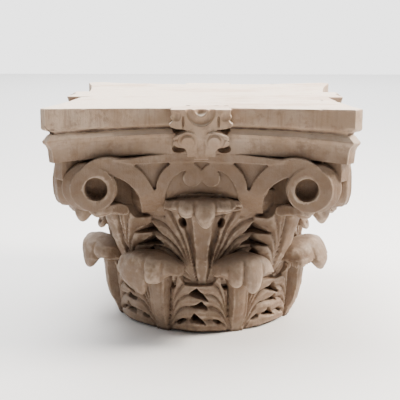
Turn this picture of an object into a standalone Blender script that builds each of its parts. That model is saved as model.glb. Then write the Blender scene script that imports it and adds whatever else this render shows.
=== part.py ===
"""A Corinthian capital carved from one block of marble.

The front face looks towards -Y, the origin is the centre of the round bed underneath, and +Z is up.
The block has a square abacus with hollow sides and cut corners, a boss in the middle of each side, a pair
of volutes at each corner, two small scrolls on each face, and two rows of eight acanthus leaves on a bell.
"""
import math

import bmesh
import bpy
import numpy as np

# Driving dimensions of the block, in metres.
CAPITAL_HEIGHT = 0.475
FOOT_RADIUS = 0.200
ABACUS_WIDTH = 0.600
ABACUS_HEIGHT = 0.102
PLATE_HEIGHT = 0.048
CORNER_CUT = 0.018
SIDE_HOLLOW = 0.038
MOULDING_INSET = 0.011
EYE_RADIUS = 0.022
EYE_DEPTH = 0.034
EYE_FROM_SIDE = 0.100
VOLUTE_SETBACK = 0.011
WALL_HOLLOW = 0.049
MIDDLE_RISE = 0.014

# The carving is drawn on a bell of this many parts, so one part is a millimetre on this capital.
DRAWN_HEIGHT = 373.0
BELL_HEIGHT = CAPITAL_HEIGHT - ABACUS_HEIGHT
PART = BELL_HEIGHT / DRAWN_HEIGHT
DRAWN_FOOT = 200.0
RADIAL_SHIFT = FOOT_RADIUS / PART - DRAWN_FOOT

# Plan of the capital, in parts, from the driving dimensions.
HALF = ABACUS_WIDTH / 2 / PART
EYE_X = HALF - EYE_FROM_SIDE / PART
EYE_Z = DRAWN_HEIGHT - 53.0
FACE_PLANE = HALF - VOLUTE_SETBACK / PART
WALL_MIDDLE = FACE_PLANE - WALL_HOLLOW / PART
WALL_REACH = EYE_X + 30.0
LIP_TOP = DRAWN_HEIGHT + 3.0
LIP_LOW = DRAWN_HEIGHT - 7.0
TOP = CAPITAL_HEIGHT / PART

# Mesh fineness, in metres and triangles.
VOXEL = 0.0036
CARVED_TRIANGLES = 7000
BELOW_BED = 0.012
NECK_RISE = 40.0
BED_FACETS = 72
BED_RIM = 0.005

SIDES = 4
QUARTER = math.pi / 2
LOWER_TURN = 20.5
LOWER_PITCH = 45.0
UPPER_PITCH = 90.0
CENTRE_LEAF_REACH = 29.0
CORNER_AZIMUTH = 45.0


def clear_scene():
    for scene_object in list(bpy.data.objects):
        bpy.data.objects.remove(scene_object, do_unlink=True)


def stone():
    """Pale marble, tanned by age."""
    material = bpy.data.materials.new("aged_marble")
    material.use_nodes = True
    shader = material.node_tree.nodes["Principled BSDF"]
    shader.inputs["Base Color"].default_value = (0.56, 0.47, 0.38, 1.0)
    shader.inputs["Roughness"].default_value = 0.75
    shader.inputs["Metallic"].default_value = 0.0
    return material


def step(value, low, high):
    """A smooth ramp from 0 at low to 1 at high."""
    share = np.clip((value - low) / (high - low), 0.0, 1.0)
    return share * share * (3.0 - 2.0 * share)


def wrap(degrees, pitch):
    """The signed angle to the nearest multiple of pitch."""
    return (degrees + pitch / 2) % pitch - pitch / 2


def along(degrees, radius):
    """Arc length on a drum of that radius."""
    return np.radians(degrees) * radius


def inside_triangle(across, up, corners, edge=2.0):
    """1 inside the triangle and 0 outside it, over an edge of that width. Corners run clockwise."""
    deepest = np.full_like(across, -1e9)
    for (x0, z0), (x1, z1) in zip(corners, corners[1:] + corners[:1]):
        length = math.hypot(x1 - x0, z1 - z0)
        outward = (-(z1 - z0) * (across - x0) + (x1 - x0) * (up - z0)) / length
        deepest = np.maximum(deepest, outward)
    return 1.0 - step(deepest, -edge / 2, edge / 2)


def inside_oval(across, up, centre, long_half, short_half, lean):
    """1 inside an oval whose long axis leans by that many degrees from upright, away from the stem."""
    angle = math.radians(lean)
    dx, dz = across - centre[0], up - centre[1]
    long_way = (dx * math.sin(angle) + dz * math.cos(angle)) / long_half
    short_way = (dx * math.cos(angle) - dz * math.sin(angle)) / short_half
    return 1.0 - step(np.hypot(long_way, short_way), 0.8, 1.1)


def fan(across, up, stem, reach, bend):
    """The height at the leaf's edge of the leaflet line through each point, and how open the fan is there."""
    way_out = np.clip((across - stem) / (reach - stem), 0.0, 1.0)
    spread = np.maximum(1.0 - (1.0 - way_out) ** bend, 0.04)
    return up / spread, spread


def leaflets(height, spread, furrows, depth):
    """Relief of rounded leaflets between furrows, flatter where the fan closes."""
    relief = np.zeros_like(height)
    for low, high in zip(furrows, furrows[1:]):
        here = (height >= low) & (height < high)
        place = np.clip((height - low) / (high - low), 0.0, 1.0)
        rise = np.minimum(depth, 0.5 * (high - low) * spread)
        relief = np.where(here, -rise * np.abs(2.0 * place - 1.0) ** 2.4, relief)
    return relief


LOWER_FURROWS = (0.0, 31.0, 61.0, 88.0, 112.0, 160.0, 260.0, 1000.0)
CENTRE_FURROWS = (0.0, 28.0, 52.0, 77.0, 106.0, 128.0, 165.0, 260.0, 2000.0)
CORNER_FURROWS = (0.0, 40.0, 75.0, 110.0, 150.0, 200.0, 300.0, 2000.0)
LOWER_HOLES = (
    [(-20.0, 88.0), (-2.5, 101.0), (19.0, 74.0)],
    [(-15.5, 61.0), (5.0, 71.0), (16.5, 56.0)],
    [(-20.0, 27.0), (-9.0, 45.0), (14.4, 23.0)],
)
UPPER_HOLES = (
    [(-23.0, 212.0), (0.0, 232.0), (25.0, 214.0)],
    [(-27.0, 189.0), (-4.0, 203.0), (25.0, 186.0)],
    [(-20.0, 163.0), (2.0, 178.0), (19.0, 160.0)],
)


def bell_ground(up):
    """Radius of the bare bell behind the leaves, at each height."""
    heights = (0.0, 60.0, 110.0, 150.0, 200.0, 250.0, EYE_Z - 40.0, EYE_Z, LIP_TOP - 26.0, LIP_TOP)
    radii = (184.0, 187.0, 191.0, 194.0, 197.0, 204.0, 211.0, 221.0, 230.0, 236.0)
    return np.interp(up, heights, radii)


def lower_leaves(degrees, up):
    """Radius of the eight lower leaves, without their curled tips."""
    radius = 206.0
    edge = along(LOWER_PITCH / 2, radius)
    across = along(np.abs(wrap(degrees - LOWER_TURN, LOWER_PITCH)), radius)
    between = along(wrap(degrees - LOWER_TURN + LOWER_PITCH / 2, LOWER_PITCH), radius)
    stem = 14.5 + 0.04 * up
    height, spread = fan(across, np.maximum(up, 0.0), stem, edge, 4.0)
    sheet = np.interp(up, (-20.0, 0.0, 20.0, 60.0, 100.0, 125.0), (199.0, 199.0, 203.0, 208.0, 214.0, 218.0))
    sheet = sheet + 5.0 * step(across, stem, edge) - 3.5 * np.exp(-((across - stem - 4.0) / 4.5) ** 2)
    sheet = sheet + leaflets(height, spread, LOWER_FURROWS, 8.0)
    hollow = inside_oval(across, up, (29.0, 106.0), 9.5, 5.5, 20.0)
    hollow = np.maximum(hollow, inside_oval(across, up, (43.0, 25.0), 9.0, 4.0, 65.0))
    for corners in LOWER_HOLES:
        hollow = np.maximum(hollow, inside_triangle(between, up, corners))
    sheet = sheet + (bell_ground(up) - sheet) * hollow
    rib = np.interp(up, (-20.0, 0.0, 16.0, 40.0, 70.0, 130.0), (200.0, 200.0, 206.0, 219.0, 227.0, 230.0))
    sheet = sheet + (rib - sheet) * (1.0 - step(across, stem - 5.0, stem + 2.0))
    top = 108.0 + 22.0 * (1.0 - step(across, 38.0, 55.0))
    return sheet + (bell_ground(up) - sheet) * step(up, top - 2.0, top + 2.0)


def upper_leaves(degrees, up):
    """Radius of the eight upper leaves: one in the middle of each face and one under each corner."""
    radius = 214.0
    start = 104.0
    azimuth = np.abs(wrap(degrees, UPPER_PITCH))
    rise = np.maximum(up - start, 0.0)
    ground = np.interp(up, (100.0, 150.0, 200.0, 262.0), (204.0, 208.0, 212.0, 218.0))

    across = along(azimuth, radius)
    stem = 9.0 + 0.085 * rise
    height, spread = fan(across, rise, stem, along(CENTRE_LEAF_REACH, radius), 2.6)
    centre = ground + leaflets(height, spread, CENTRE_FURROWS, 8.5)
    hollow = inside_oval(across, up, (39.5, 236.0), 9.5, 5.5, 20.0)
    centre = centre + (bell_ground(up) - centre) * hollow
    rib = np.interp(up, (100.0, 150.0, 215.0, 240.0, 270.0), (206.0, 214.0, 221.0, 227.0, 232.0))
    centre = centre + (rib - centre) * (1.0 - step(across, stem - 4.0, stem + 2.0))

    from_corner = CORNER_AZIMUTH - azimuth
    aside = along(from_corner, 235.0)
    narrow = CORNER_AZIMUTH - CENTRE_LEAF_REACH
    stem = 8.0 + 0.06 * rise
    height, spread = fan(aside, rise, stem, along(narrow, 235.0), 3.5)
    swell = np.interp(up, (112.0, 141.0, 192.0, 241.0, 275.0), (2.0, 12.0, 32.0, 46.0, 58.0))
    corner = ground + swell * np.cos(np.clip(from_corner / narrow, 0.0, 1.0) * QUARTER)
    corner = corner + leaflets(height, spread, CORNER_FURROWS, 8.5)
    corner = corner + 5.0 * (1.0 - step(aside, stem - 3.0, stem + 2.0))

    sheet = np.where(azimuth < CENTRE_LEAF_REACH, centre, corner)
    between = along(azimuth - CENTRE_LEAF_REACH, radius)
    hollow = np.zeros_like(sheet)
    for corners in UPPER_HOLES:
        hollow = np.maximum(hollow, inside_triangle(between, up, corners))
    sheet = sheet + (bell_ground(up) - sheet) * hollow
    edge_height = 244.0 + 20.0 * (1.0 - step(across, 55.0, 75.0)) + 26.0 * (1.0 - step(aside, 20.0, 50.0))
    top = np.where(azimuth < 20.0, 264.0, edge_height)
    return sheet + (bell_ground(up) - sheet) * step(up, top - 2.0, top + 2.0)


def carved_radius(degrees, up):
    """Radius of the bell with both rows of leaves, in parts."""
    radius = np.maximum(bell_ground(up), upper_leaves(degrees, up))
    return np.maximum(radius, lower_leaves(degrees, up)) + RADIAL_SHIFT


def new_mesh():
    return bmesh.new()


def add_loft(mesh, rings):
    """Skin closed rings of equal size one after another, and close both ends."""
    loops = [[mesh.verts.new([PART * value for value in point]) for point in ring] for ring in rings]
    count = len(loops[0])
    faces = []
    for near, far in zip(loops, loops[1:]):
        for index in range(count):
            after = (index + 1) % count
            faces.append(mesh.faces.new((near[index], near[after], far[after], far[index])))
    faces.append(mesh.faces.new(loops[0][::-1]))
    faces.append(mesh.faces.new(loops[-1]))
    bmesh.ops.recalc_face_normals(mesh, faces=faces)


def add_drum(mesh):
    """The bell with both rows of leaves: one ring of points for each height."""
    columns, rows = 360, 110
    azimuths = np.arange(columns) * 360.0 / columns
    rings = []
    for up in np.linspace(-BELOW_BED / PART, DRAWN_HEIGHT + NECK_RISE, rows):
        radii = carved_radius(azimuths, np.full_like(azimuths, up))
        if up > LIP_TOP:
            radii = np.full_like(azimuths, DRAWN_FOOT + RADIAL_SHIFT)
        turn = np.radians(azimuths)
        rings.append(np.column_stack((radii * np.sin(turn), -radii * np.cos(turn), np.full(columns, up))))
    add_loft(mesh, rings)


# A form names a curled tip's section: the radius of its root and of its lip, how far the lip draws in at the
# sides, the heights of its crest and of the notch between two lobes, its underside in the middle and at the
# sides, and the droop of the crest.
LOWER_FORM = (230.0, 287.0, 22.0, 181.0, 150.0, 124.0, 146.0, 24.0)
CENTRE_FORM = (226.0, 270.0, 22.0, 295.0, 277.0, 257.0, 270.0, 10.0)
CORNER_FORM = (282.0, 341.0, 10.0, 285.0, 270.0, 257.0, 262.0, 3.0)
# A lobe is the degrees at which it starts, hangs lowest and ends, the height of its lip, and its push outwards.
RIGHT_LOBES = (
    (-15.5, -11.3, -8.5, 139.0, -3.0),
    (-8.5, -5.0, -2.4, 119.0, 2.0),
    (-2.4, 2.2, 6.8, 103.0, 5.0),
    (6.8, 10.6, 16.0, 136.0, -2.0),
)
LEFT_LOBES = ((-19.5, -1.2, 1.1, 93.0, -8.0), (1.1, 4.4, 7.8, 120.0, 5.0), (7.8, 11.0, 15.5, 138.0, -4.0))
SIDE_LOBES = (
    (-16.5, -12.5, -8.5, 143.0, -4.0),
    (-8.5, -5.0, -1.5, 126.0, 1.0),
    (-1.5, 2.2, 6.0, 110.0, 4.0),
    (6.0, 9.3, 12.2, 127.0, 1.0),
    (12.2, 14.5, 17.0, 146.0, -4.0),
)
CENTRE_LOBES = (
    (-18.5, -14.5, -10.6, 271.0, -5.0),
    (-10.6, -7.3, -3.6, 261.0, 0.0),
    (-3.6, 1.2, 5.2, 245.0, 5.0),
    (5.2, 9.0, 12.4, 271.0, 0.0),
    (12.4, 15.6, 19.5, 277.0, -5.0),
)
CORNER_LOBES = ((-10.5, -7.0, -3.7, 259.0, 0.0), (-3.7, 0.0, 3.7, 246.0, 2.0), (3.7, 7.0, 10.5, 259.0, 0.0))
# Two tips beyond the sides are broken off near their roots.
STUMP_FORM = (226.0, 247.0, 8.0, 144.0, 132.0, 114.0, 126.0, 12.0)
STUMP_LOBES = ((-11.0, -5.0, -1.0, 124.0, 0.0), (-1.0, 4.0, 10.0, 119.0, -3.0))
CREASE = 8.0
CREST_DROP = 14.0


def closed_curve(keys, around):
    """A smooth closed curve near its key points, sampled at those shares of the way round."""
    keys = np.array(keys)
    place = around * len(keys)
    first = np.floor(place).astype(int)
    share = place - first
    before, here, after = (keys[(first + shift) % len(keys)] for shift in (-1, 0, 1))
    return 0.5 * (1.0 - share) ** 2 * before + (0.5 + share - share * share) * here + 0.5 * share ** 2 * after


def lip_of_lobes(lobes, notch, turn):
    """Height of the lip at one angle, and how far the lobe there stands out or its crease cuts in."""
    for start, lowest, end, bottom, push in lobes:
        if start <= turn <= end:
            reach = (lowest - start) if turn < lowest else (end - lowest)
            arch = max(1.0 - (abs(turn - lowest) / reach) ** 2.2, 0.0) ** 0.5
            return bottom + (notch - bottom) * (1.0 - arch), push * arch - CREASE * (1.0 - arch)
    return notch, -CREASE


def add_tip(mesh, azimuth, form, lobes, slices=72, points=48):
    """A curled leaf tip: its section from root to lip and back, carried across the leaf from lobe to lobe."""
    root, lip, draw_in, crest, notch, under_middle, under_side, droop = form
    around = np.arange(points) / points
    rings = []
    for turn in np.linspace(lobes[0][0], lobes[-1][2], slices):
        side = abs(2.0 * (turn - lobes[0][0]) / (lobes[-1][2] - lobes[0][0]) - 1.0)
        hang, inset = lip_of_lobes(lobes, notch, turn)
        closing = max(1.0 - (max(side - 0.85, 0.0) / 0.15) ** 2, 0.0) ** 0.5
        reach = root + (lip - draw_in * side * side - root) * (0.35 + 0.65 * closing)
        top = crest - droop * side * side - 4.0 * (1.0 - closing)
        under = under_middle + (under_side - under_middle) * side ** 1.4
        hang = under + (hang - under) * closing
        front = top - CREST_DROP
        radius = closed_curve((
            root - 25.0, root, (root + reach) / 2, reach - 10.0 + 0.35 * inset, reach + 0.8 * inset, reach + inset,
            reach - 2.0 + inset, reach - 8.0 + inset, reach - 16.0 + inset, reach - 21.0 + 0.5 * inset,
            reach - 26.0, root + 9.0, root - 5.0, root - 25.0,
        ), around) + RADIAL_SHIFT
        up = closed_curve((
            top - 8.0, top - 2.0, top, top - 2.0, front, (front + hang) / 2, hang + 6.0, hang - 2.0, hang - 1.0,
            hang + 9.0, under + 2.0, under, under - 5.0, under - 8.0,
        ), around)
        angle = math.radians(azimuth + turn)
        rings.append(np.column_stack((radius * math.sin(angle), -radius * math.cos(angle), up)))
    add_loft(mesh, rings)


def mirrored_lobes(lobes):
    return tuple((-end, -lowest, -start, bottom, push) for start, lowest, end, bottom, push in reversed(lobes))


def add_tips(mesh):
    row = (RIGHT_LOBES, SIDE_LOBES, STUMP_LOBES, mirrored_lobes(RIGHT_LOBES))
    row += (SIDE_LOBES, STUMP_LOBES, mirrored_lobes(SIDE_LOBES), LEFT_LOBES)
    for turn, lobes in enumerate(row):
        form = STUMP_FORM if lobes == STUMP_LOBES else LOWER_FORM
        add_tip(mesh, LOWER_TURN + LOWER_PITCH * turn, form, lobes)
    for turn in range(SIDES):
        add_tip(mesh, 1.0 + UPPER_PITCH * turn, CENTRE_FORM, CENTRE_LOBES)
        add_tip(mesh, CORNER_AZIMUTH + UPPER_PITCH * turn, CORNER_FORM, CORNER_LOBES)


LEAN_TOP = EYE_Z - 17.0
STEM_LEAN = 1.25
RING_LEAN = 0.14


def wall_depth(across, up):
    """Distance of the wall from the axis plane: hollow in the middle, and drawn in towards its foot."""
    share = min(abs(across) / WALL_REACH, 1.0)
    depth = WALL_MIDDLE + (FACE_PLANE - WALL_MIDDLE) * (1.0 - math.cos(math.pi * share)) / 2
    rate = RING_LEAN + (STEM_LEAN - RING_LEAN) * (1.0 - step(abs(across), 118.0, 140.0))
    return depth - rate * max(LEAN_TOP - up, 0.0)


def turned(point, side):
    """A point of the front face moved to another side."""
    angle = QUARTER * side
    x, y, z = point
    return (x * math.cos(angle) - y * math.sin(angle), x * math.sin(angle) + y * math.cos(angle), z)


def add_plate(mesh, outline, recess, back, side, mirror=1.0, strips=9.0):
    """A flat outline of the front face, given a front that follows the wall and a straight back."""
    plate = bmesh.new()
    corners = [plate.verts.new((across, 0.0, up)) for across, up in outline]
    plate.faces.new(corners)
    for axis in (0, 2):
        places = [vertex.co[axis] for vertex in plate.verts]
        least, most = min(places), max(places)
        for cut in range(1, int((most - least) / strips) + 1):
            at = [0.0, 0.0, 0.0]
            at[axis] = least + cut * strips
            normal = [0.0, 0.0, 0.0]
            normal[axis] = 1.0
            everything = plate.verts[:] + plate.edges[:] + plate.faces[:]
            bmesh.ops.bisect_plane(plate, geom=everything, plane_co=at, plane_no=normal)
    front = plate.verts[:]
    made = bmesh.ops.extrude_face_region(plate, geom=plate.faces[:])["geom"]
    behind = [item for item in made if isinstance(item, bmesh.types.BMVert)]
    for vertex in front:
        vertex.co.y = -(wall_depth(vertex.co.x, vertex.co.z) - recess)
    for vertex in behind:
        vertex.co.y = -back
    bmesh.ops.recalc_face_normals(plate, faces=plate.faces[:])
    for vertex in plate.verts:
        vertex.co = [PART * value for value in turned((mirror * vertex.co.x, vertex.co.y, vertex.co.z), side)]
    if mirror < 0.0:
        bmesh.ops.reverse_faces(plate, faces=plate.faces[:])
    append(mesh, plate)


def append(mesh, other):
    """Copy another bmesh into this one."""
    copies = {vertex: mesh.verts.new(vertex.co) for vertex in other.verts}
    for face in other.faces:
        mesh.faces.new([copies[vertex] for vertex in face.verts])
    other.free()


def polar(centre_x, centre_z, radius, degrees):
    angle = math.radians(degrees)
    return (centre_x + radius * math.cos(angle), centre_z + radius * math.sin(angle))


def span(start, stop, count):
    return [start + (stop - start) * index / (count - 1) for index in range(count)]


RING_X = EYE_X + 4.5
RING_RADIUS = 44.0
BAND_LIFT = 60.0
BAND_START = 145.0
NOTCH_ANGLE = 184.0
BAND_END = 206.0
STEM_FOOT = 246.0
SCROLL_Z = EYE_Z - 8.0
SCROLL_FOOT_Z = EYE_Z - 37.0


def band_outer(degrees):
    """Outer edge of the volute band, as it unrolls from the ring."""
    past = max(degrees - BAND_LIFT, 0.0)
    return polar(RING_X, EYE_Z, RING_RADIUS + 0.31 * past + 0.0019 * past * past, degrees)


def band_inner(degrees):
    """Inner edge of the same band."""
    past = max(degrees - BAND_START, 0.0)
    return polar(EYE_X, EYE_Z, RING_RADIUS - 2.0 + 0.5 * past + 0.0075 * past * past, degrees)


def scroll_outer(degrees):
    """Outer edge of a small scroll's band, a share of an oval."""
    angle = math.radians(degrees)
    return (38.0 + 50.0 * math.cos(angle), SCROLL_Z + 57.0 * math.sin(angle))


def scroll_inner(degrees):
    """Inner edge of the same band."""
    angle = math.radians(degrees)
    return (24.0 + 48.0 * math.cos(angle), SCROLL_FOOT_Z + 67.0 * math.sin(angle))


def face_outlines():
    """Half of one face as outlines, each with its recess behind the wall's surface and its flat back."""
    ring_back = FACE_PLANE - 36.0
    deep = 150.0
    foot = [(86.0, STEM_FOOT), (106.0, STEM_FOOT)]
    band = [band_outer(angle) for angle in span(-150.0, NOTCH_ANGLE, 44)] + foot
    band += [band_inner(angle) for angle in span(BAND_END, BAND_START, 12)]
    band_root = [band_outer(angle) for angle in span(150.0, NOTCH_ANGLE, 6)] + foot
    band_root += [band_inner(angle) for angle in span(BAND_END, 172.0, 6)]
    scroll = [scroll_outer(angle) for angle in span(0.0, 138.0, 14)] + [(0.0, EYE_Z + 8.0)]
    scroll += [polar(18.0, EYE_Z + 14.0, 18.0, angle) for angle in span(-125.0, 48.0, 10)]
    scroll += [(26.0, EYE_Z + 30.0)] + [scroll_inner(angle) for angle in span(84.0, 0.0, 10)]
    scroll += [(72.0, STEM_FOOT), (92.0, STEM_FOOT)]
    panel = [(-1.0, STEM_FOOT), (-1.0, LIP_TOP), (140.0, LIP_TOP), band_inner(178.0), (104.0, STEM_FOOT)]
    field = [(-1.0, STEM_FOOT), (-1.0, EYE_Z + 32.0), (26.0, EYE_Z + 32.0), (50.0, EYE_Z + 18.0)]
    field += [(68.0, EYE_Z - 8.0), (76.0, STEM_FOOT)]
    lip = [(-1.0, LIP_LOW), (-1.0, LIP_TOP), (136.0, LIP_TOP), (128.0, LIP_LOW)]
    return (
        (band, 0.0, ring_back),
        (band_root, 0.0, deep),
        (scroll, 0.0, deep),
        (panel, 10.0, deep),
        (field, 6.0, deep),
        (lip, -2.0, deep),
    )


def add_face(mesh, side):
    """The wall of one face: lip, panels, volute bands and small scrolls."""
    for mirror in (1.0, -1.0):
        for outline, recess, back in face_outlines():
            add_plate(mesh, outline, recess, back, side, mirror)
        add_roll(mesh, side, mirror)


# Each station of the roll behind a ring is its depth, its shift towards the corner, and its radius.
ROLL = ((0.6, 0.0, 42.5), (4.0, 2.5, 44.0), (11.0, 15.0, 46.0), (26.0, 17.0, 46.5), (48.0, 17.0, 46.0))


def add_roll(mesh, side, mirror):
    """The body of one volute behind its ring, wider towards the corner."""
    rings = []
    for depth, shift, radius in ROLL:
        ring = []
        for degrees in span(0.0, 360.0, 49)[:-1]:
            x, z = polar(RING_X + shift, EYE_Z + 0.1 * shift, radius, degrees)
            lean = RING_LEAN * max(LEAN_TOP - z, 0.0)
            ring.append(turned((mirror * x, -(FACE_PLANE - depth - lean), z), side))
        rings.append(ring)
    add_loft(mesh, rings)


DIAGONAL = math.sqrt(2) * FACE_PLANE


def add_wedge(mesh, side, near, far, half_near, half_far, low_near, low_far):
    """A tapered block that runs out along a diagonal, up to the height of the lip."""
    rings = []
    for out, half, low in ((near, half_near, low_near), (far, half_far, low_far)):
        section = ((-half, low), (half, low), (half, LIP_TOP), (-half, LIP_TOP))
        rings.append([turned(((out + t) / math.sqrt(2), (t - out) / math.sqrt(2), z), side) for t, z in section])
    add_loft(mesh, rings)


def add_corner(mesh, side):
    """The stone between the two volutes of a corner, and the block over the slot between them."""
    add_wedge(mesh, side, 150.0, DIAGONAL - 62.0, 26.0, 22.0, 256.0, EYE_Z - 40.0)
    add_wedge(mesh, side, DIAGONAL - 80.0, DIAGONAL - 24.0, 18.0, 12.0, EYE_Z + 16.0, EYE_Z + 16.0)


# Heights of the boss are in parts below the top of the abacus.
BOSS_HALF = (
    (0.0, 61.0), (6.0, 58.0), (13.0, 48.0), (22.0, 41.0), (32.0, 38.0), (44.0, 39.0), (55.0, 37.0),
    (59.0, 34.0), (55.0, 23.0), (58.0, 11.0), (56.0, 0.0), (0.0, 0.0),
)
BOSS_LEAF = (
    (7.0, 95.0), (32.0, 95.0), (32.0, 83.0), (40.0, 75.0), (52.0, 73.0), (58.0, 68.0), (49.0, 63.0),
    (57.0, 56.0), (54.0, 48.0), (42.0, 44.0), (32.0, 40.0), (21.0, 42.0), (13.0, 52.0), (9.0, 71.0),
)
BOSS_STEM = ((-15.0, 104.0), (15.0, 104.0), (9.0, 75.0), (5.0, 53.0), (-5.0, 53.0), (-9.0, 75.0))
BOSS_BACK = 95.0


def add_prism(mesh, outline, inset_low, inset_high, side):
    """An outline with a front that leans between two insets from the side of the abacus."""
    deepest = max(fall for across, fall in outline)
    highest = min(fall for across, fall in outline)
    front = []
    behind = []
    for across, fall in outline:
        inset = inset_high + (inset_low - inset_high) * (fall - highest) / (deepest - highest)
        front.append(turned((across, -(HALF - inset), TOP - fall), side))
        behind.append(turned((across, -(HALF - BOSS_BACK), TOP - fall), side))
    add_loft(mesh, [front, behind])


def mirrored(outline):
    return [(-across, up) for across, up in outline][::-1]


def add_boss(mesh, side):
    """The boss of one abacus side: a broken flower above, a stem and two curled leaves below."""
    add_prism(mesh, list(BOSS_HALF) + mirrored(BOSS_HALF[1:-1]), 26.0, 9.0, side)
    add_prism(mesh, list(BOSS_STEM), 50.0, 24.0, side)
    for outline in (list(BOSS_LEAF), mirrored(BOSS_LEAF)):
        add_prism(mesh, outline, 40.0, 17.0, side)


def mesh_object(name, mesh):
    data = bpy.data.meshes.new(name)
    bmesh.ops.triangulate(mesh, faces=mesh.faces[:])
    mesh.to_mesh(data)
    mesh.free()
    made = bpy.data.objects.new(name, data)
    bpy.context.scene.collection.objects.link(made)
    return made


def apply_modifier(target, kind, **settings):
    modifier = target.modifiers.new(kind.lower(), kind)
    for key, value in settings.items():
        setattr(modifier, key, value)
    bpy.ops.object.select_all(action="DESELECT")
    bpy.context.view_layer.objects.active = target
    target.select_set(True)
    bpy.ops.object.modifier_apply(modifier=modifier.name)


def count_triangles(target):
    target.data.calc_loop_triangles()
    return len(target.data.loop_triangles)


def carved_block():
    """Everything that is carved, fused into one closed skin and thinned to flat facets."""
    mesh = new_mesh()
    add_drum(mesh)
    add_tips(mesh)
    for side in range(SIDES):
        add_face(mesh, side)
        add_corner(mesh, side)
        add_boss(mesh, side)
    block = mesh_object("carved", mesh)
    apply_modifier(block, "REMESH", mode="VOXEL", voxel_size=VOXEL)
    apply_modifier(block, "SMOOTH", factor=0.4, iterations=1)
    ratio = CARVED_TRIANGLES / count_triangles(block)
    apply_modifier(block, "DECIMATE", decimate_type="COLLAPSE", ratio=ratio, use_collapse_triangulate=True)
    return block


def abacus_ring(inset, hollow, up_corner, up_middle, points=9):
    """One level of the abacus: four hollow sides between cut corners, higher in the middle."""
    half = ABACUS_WIDTH / 2
    reach = half - inset
    end = reach - CORNER_CUT * reach / half
    ring = []
    for side in range(SIDES):
        for index in range(points):
            share = -1.0 + 2.0 * index / (points - 1)
            up = up_corner + (up_middle - up_corner) * (1.0 - share * share)
            ring.append(turned((share * end, -(reach - hollow * (1.0 - share * share)), up), side))
    return ring


def abacus():
    """The plate with its undercut edge, the groove and the hollow moulding beneath."""
    top = CAPITAL_HEIGHT
    plate = top - PLATE_HEIGHT
    low = top - ABACUS_HEIGHT
    moulding = plate - low
    # Each level is its inset, its height at the corner, and how much higher it is in the middle of a side.
    levels = (
        (MOULDING_INSET, low, MIDDLE_RISE),
        (0.90 * MOULDING_INSET, low + 0.40 * moulding, MIDDLE_RISE),
        (0.16 * MOULDING_INSET, low + 0.70 * moulding, 0.90 * MIDDLE_RISE),
        (1.25 * MOULDING_INSET, low + 0.97 * moulding, 0.60 * MIDDLE_RISE),
        (0.40 * MOULDING_INSET, plate + 0.09 * PLATE_HEIGHT, 0.50 * MIDDLE_RISE),
        (0.0, plate + 0.20 * PLATE_HEIGHT, 0.45 * MIDDLE_RISE),
        (0.0, top, 0.0),
    )
    mesh = new_mesh()
    rings = []
    for inset, up, rise in levels:
        ring = abacus_ring(inset, SIDE_HOLLOW, up, up + rise)
        rings.append([[value / PART for value in point] for point in ring])
    add_loft(mesh, rings)
    return mesh_object("abacus", mesh)


def cutter(name, mesh):
    made = mesh_object(name, mesh)
    made.hide_render = True
    made.display_type = "WIRE"
    return made


def eye_drills():
    """One drill for the eye of each volute."""
    mesh = new_mesh()
    start = FACE_PLANE + 8.0
    stop = FACE_PLANE - EYE_DEPTH / PART
    radius = EYE_RADIUS / PART
    for side in range(SIDES):
        for mirror in (1.0, -1.0):
            rings = []
            for depth in (start, stop):
                points = [polar(EYE_X, EYE_Z, radius, degrees) for degrees in span(0.0, 360.0, 17)[:-1]]
                rings.append([turned((mirror * x, -depth, z), side) for x, z in points])
            add_loft(mesh, rings)
    return cutter("eye_drills", mesh)


def bed_cutter():
    """A slab that trims the foot to a true flat bed."""
    mesh = new_mesh()
    wide = 2.0 * HALF
    rings = []
    for up in (-80.0, 0.0):
        rings.append([(-wide, -wide, up), (wide, -wide, up), (wide, wide, up), (-wide, wide, up)])
    add_loft(mesh, rings)
    return cutter("bed_cutter", mesh)


def bed_rim():
    """The true round of the bed, a thin disc inside the foot of the leaves."""
    mesh = new_mesh()
    rings = []
    for up in (0.0, BED_RIM / PART):
        ring = [polar(0.0, 0.0, FOOT_RADIUS / PART, degrees) for degrees in span(0.0, 360.0, BED_FACETS + 1)[:-1]]
        rings.append([(x, y, up) for x, y in ring])
    add_loft(mesh, rings)
    return mesh_object("bed_rim", mesh)


def combine(target, other, operation):
    apply_modifier(target, "BOOLEAN", object=other, operation=operation, solver="EXACT")
    bpy.data.objects.remove(other, do_unlink=True)


def build():
    clear_scene()
    block = carved_block()
    combine(block, bed_cutter(), "DIFFERENCE")
    combine(block, bed_rim(), "UNION")
    combine(block, abacus(), "UNION")
    combine(block, eye_drills(), "DIFFERENCE")
    block.name = "corinthian_capital"
    block.data.name = "corinthian_capital"
    block.data.materials.clear()
    block.data.materials.append(stone())
    block.data.shade_smooth()
    block.data.set_sharp_from_angle(angle=math.radians(35.0))
    print("triangles", count_triangles(block))


build()
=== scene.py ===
import math

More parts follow.
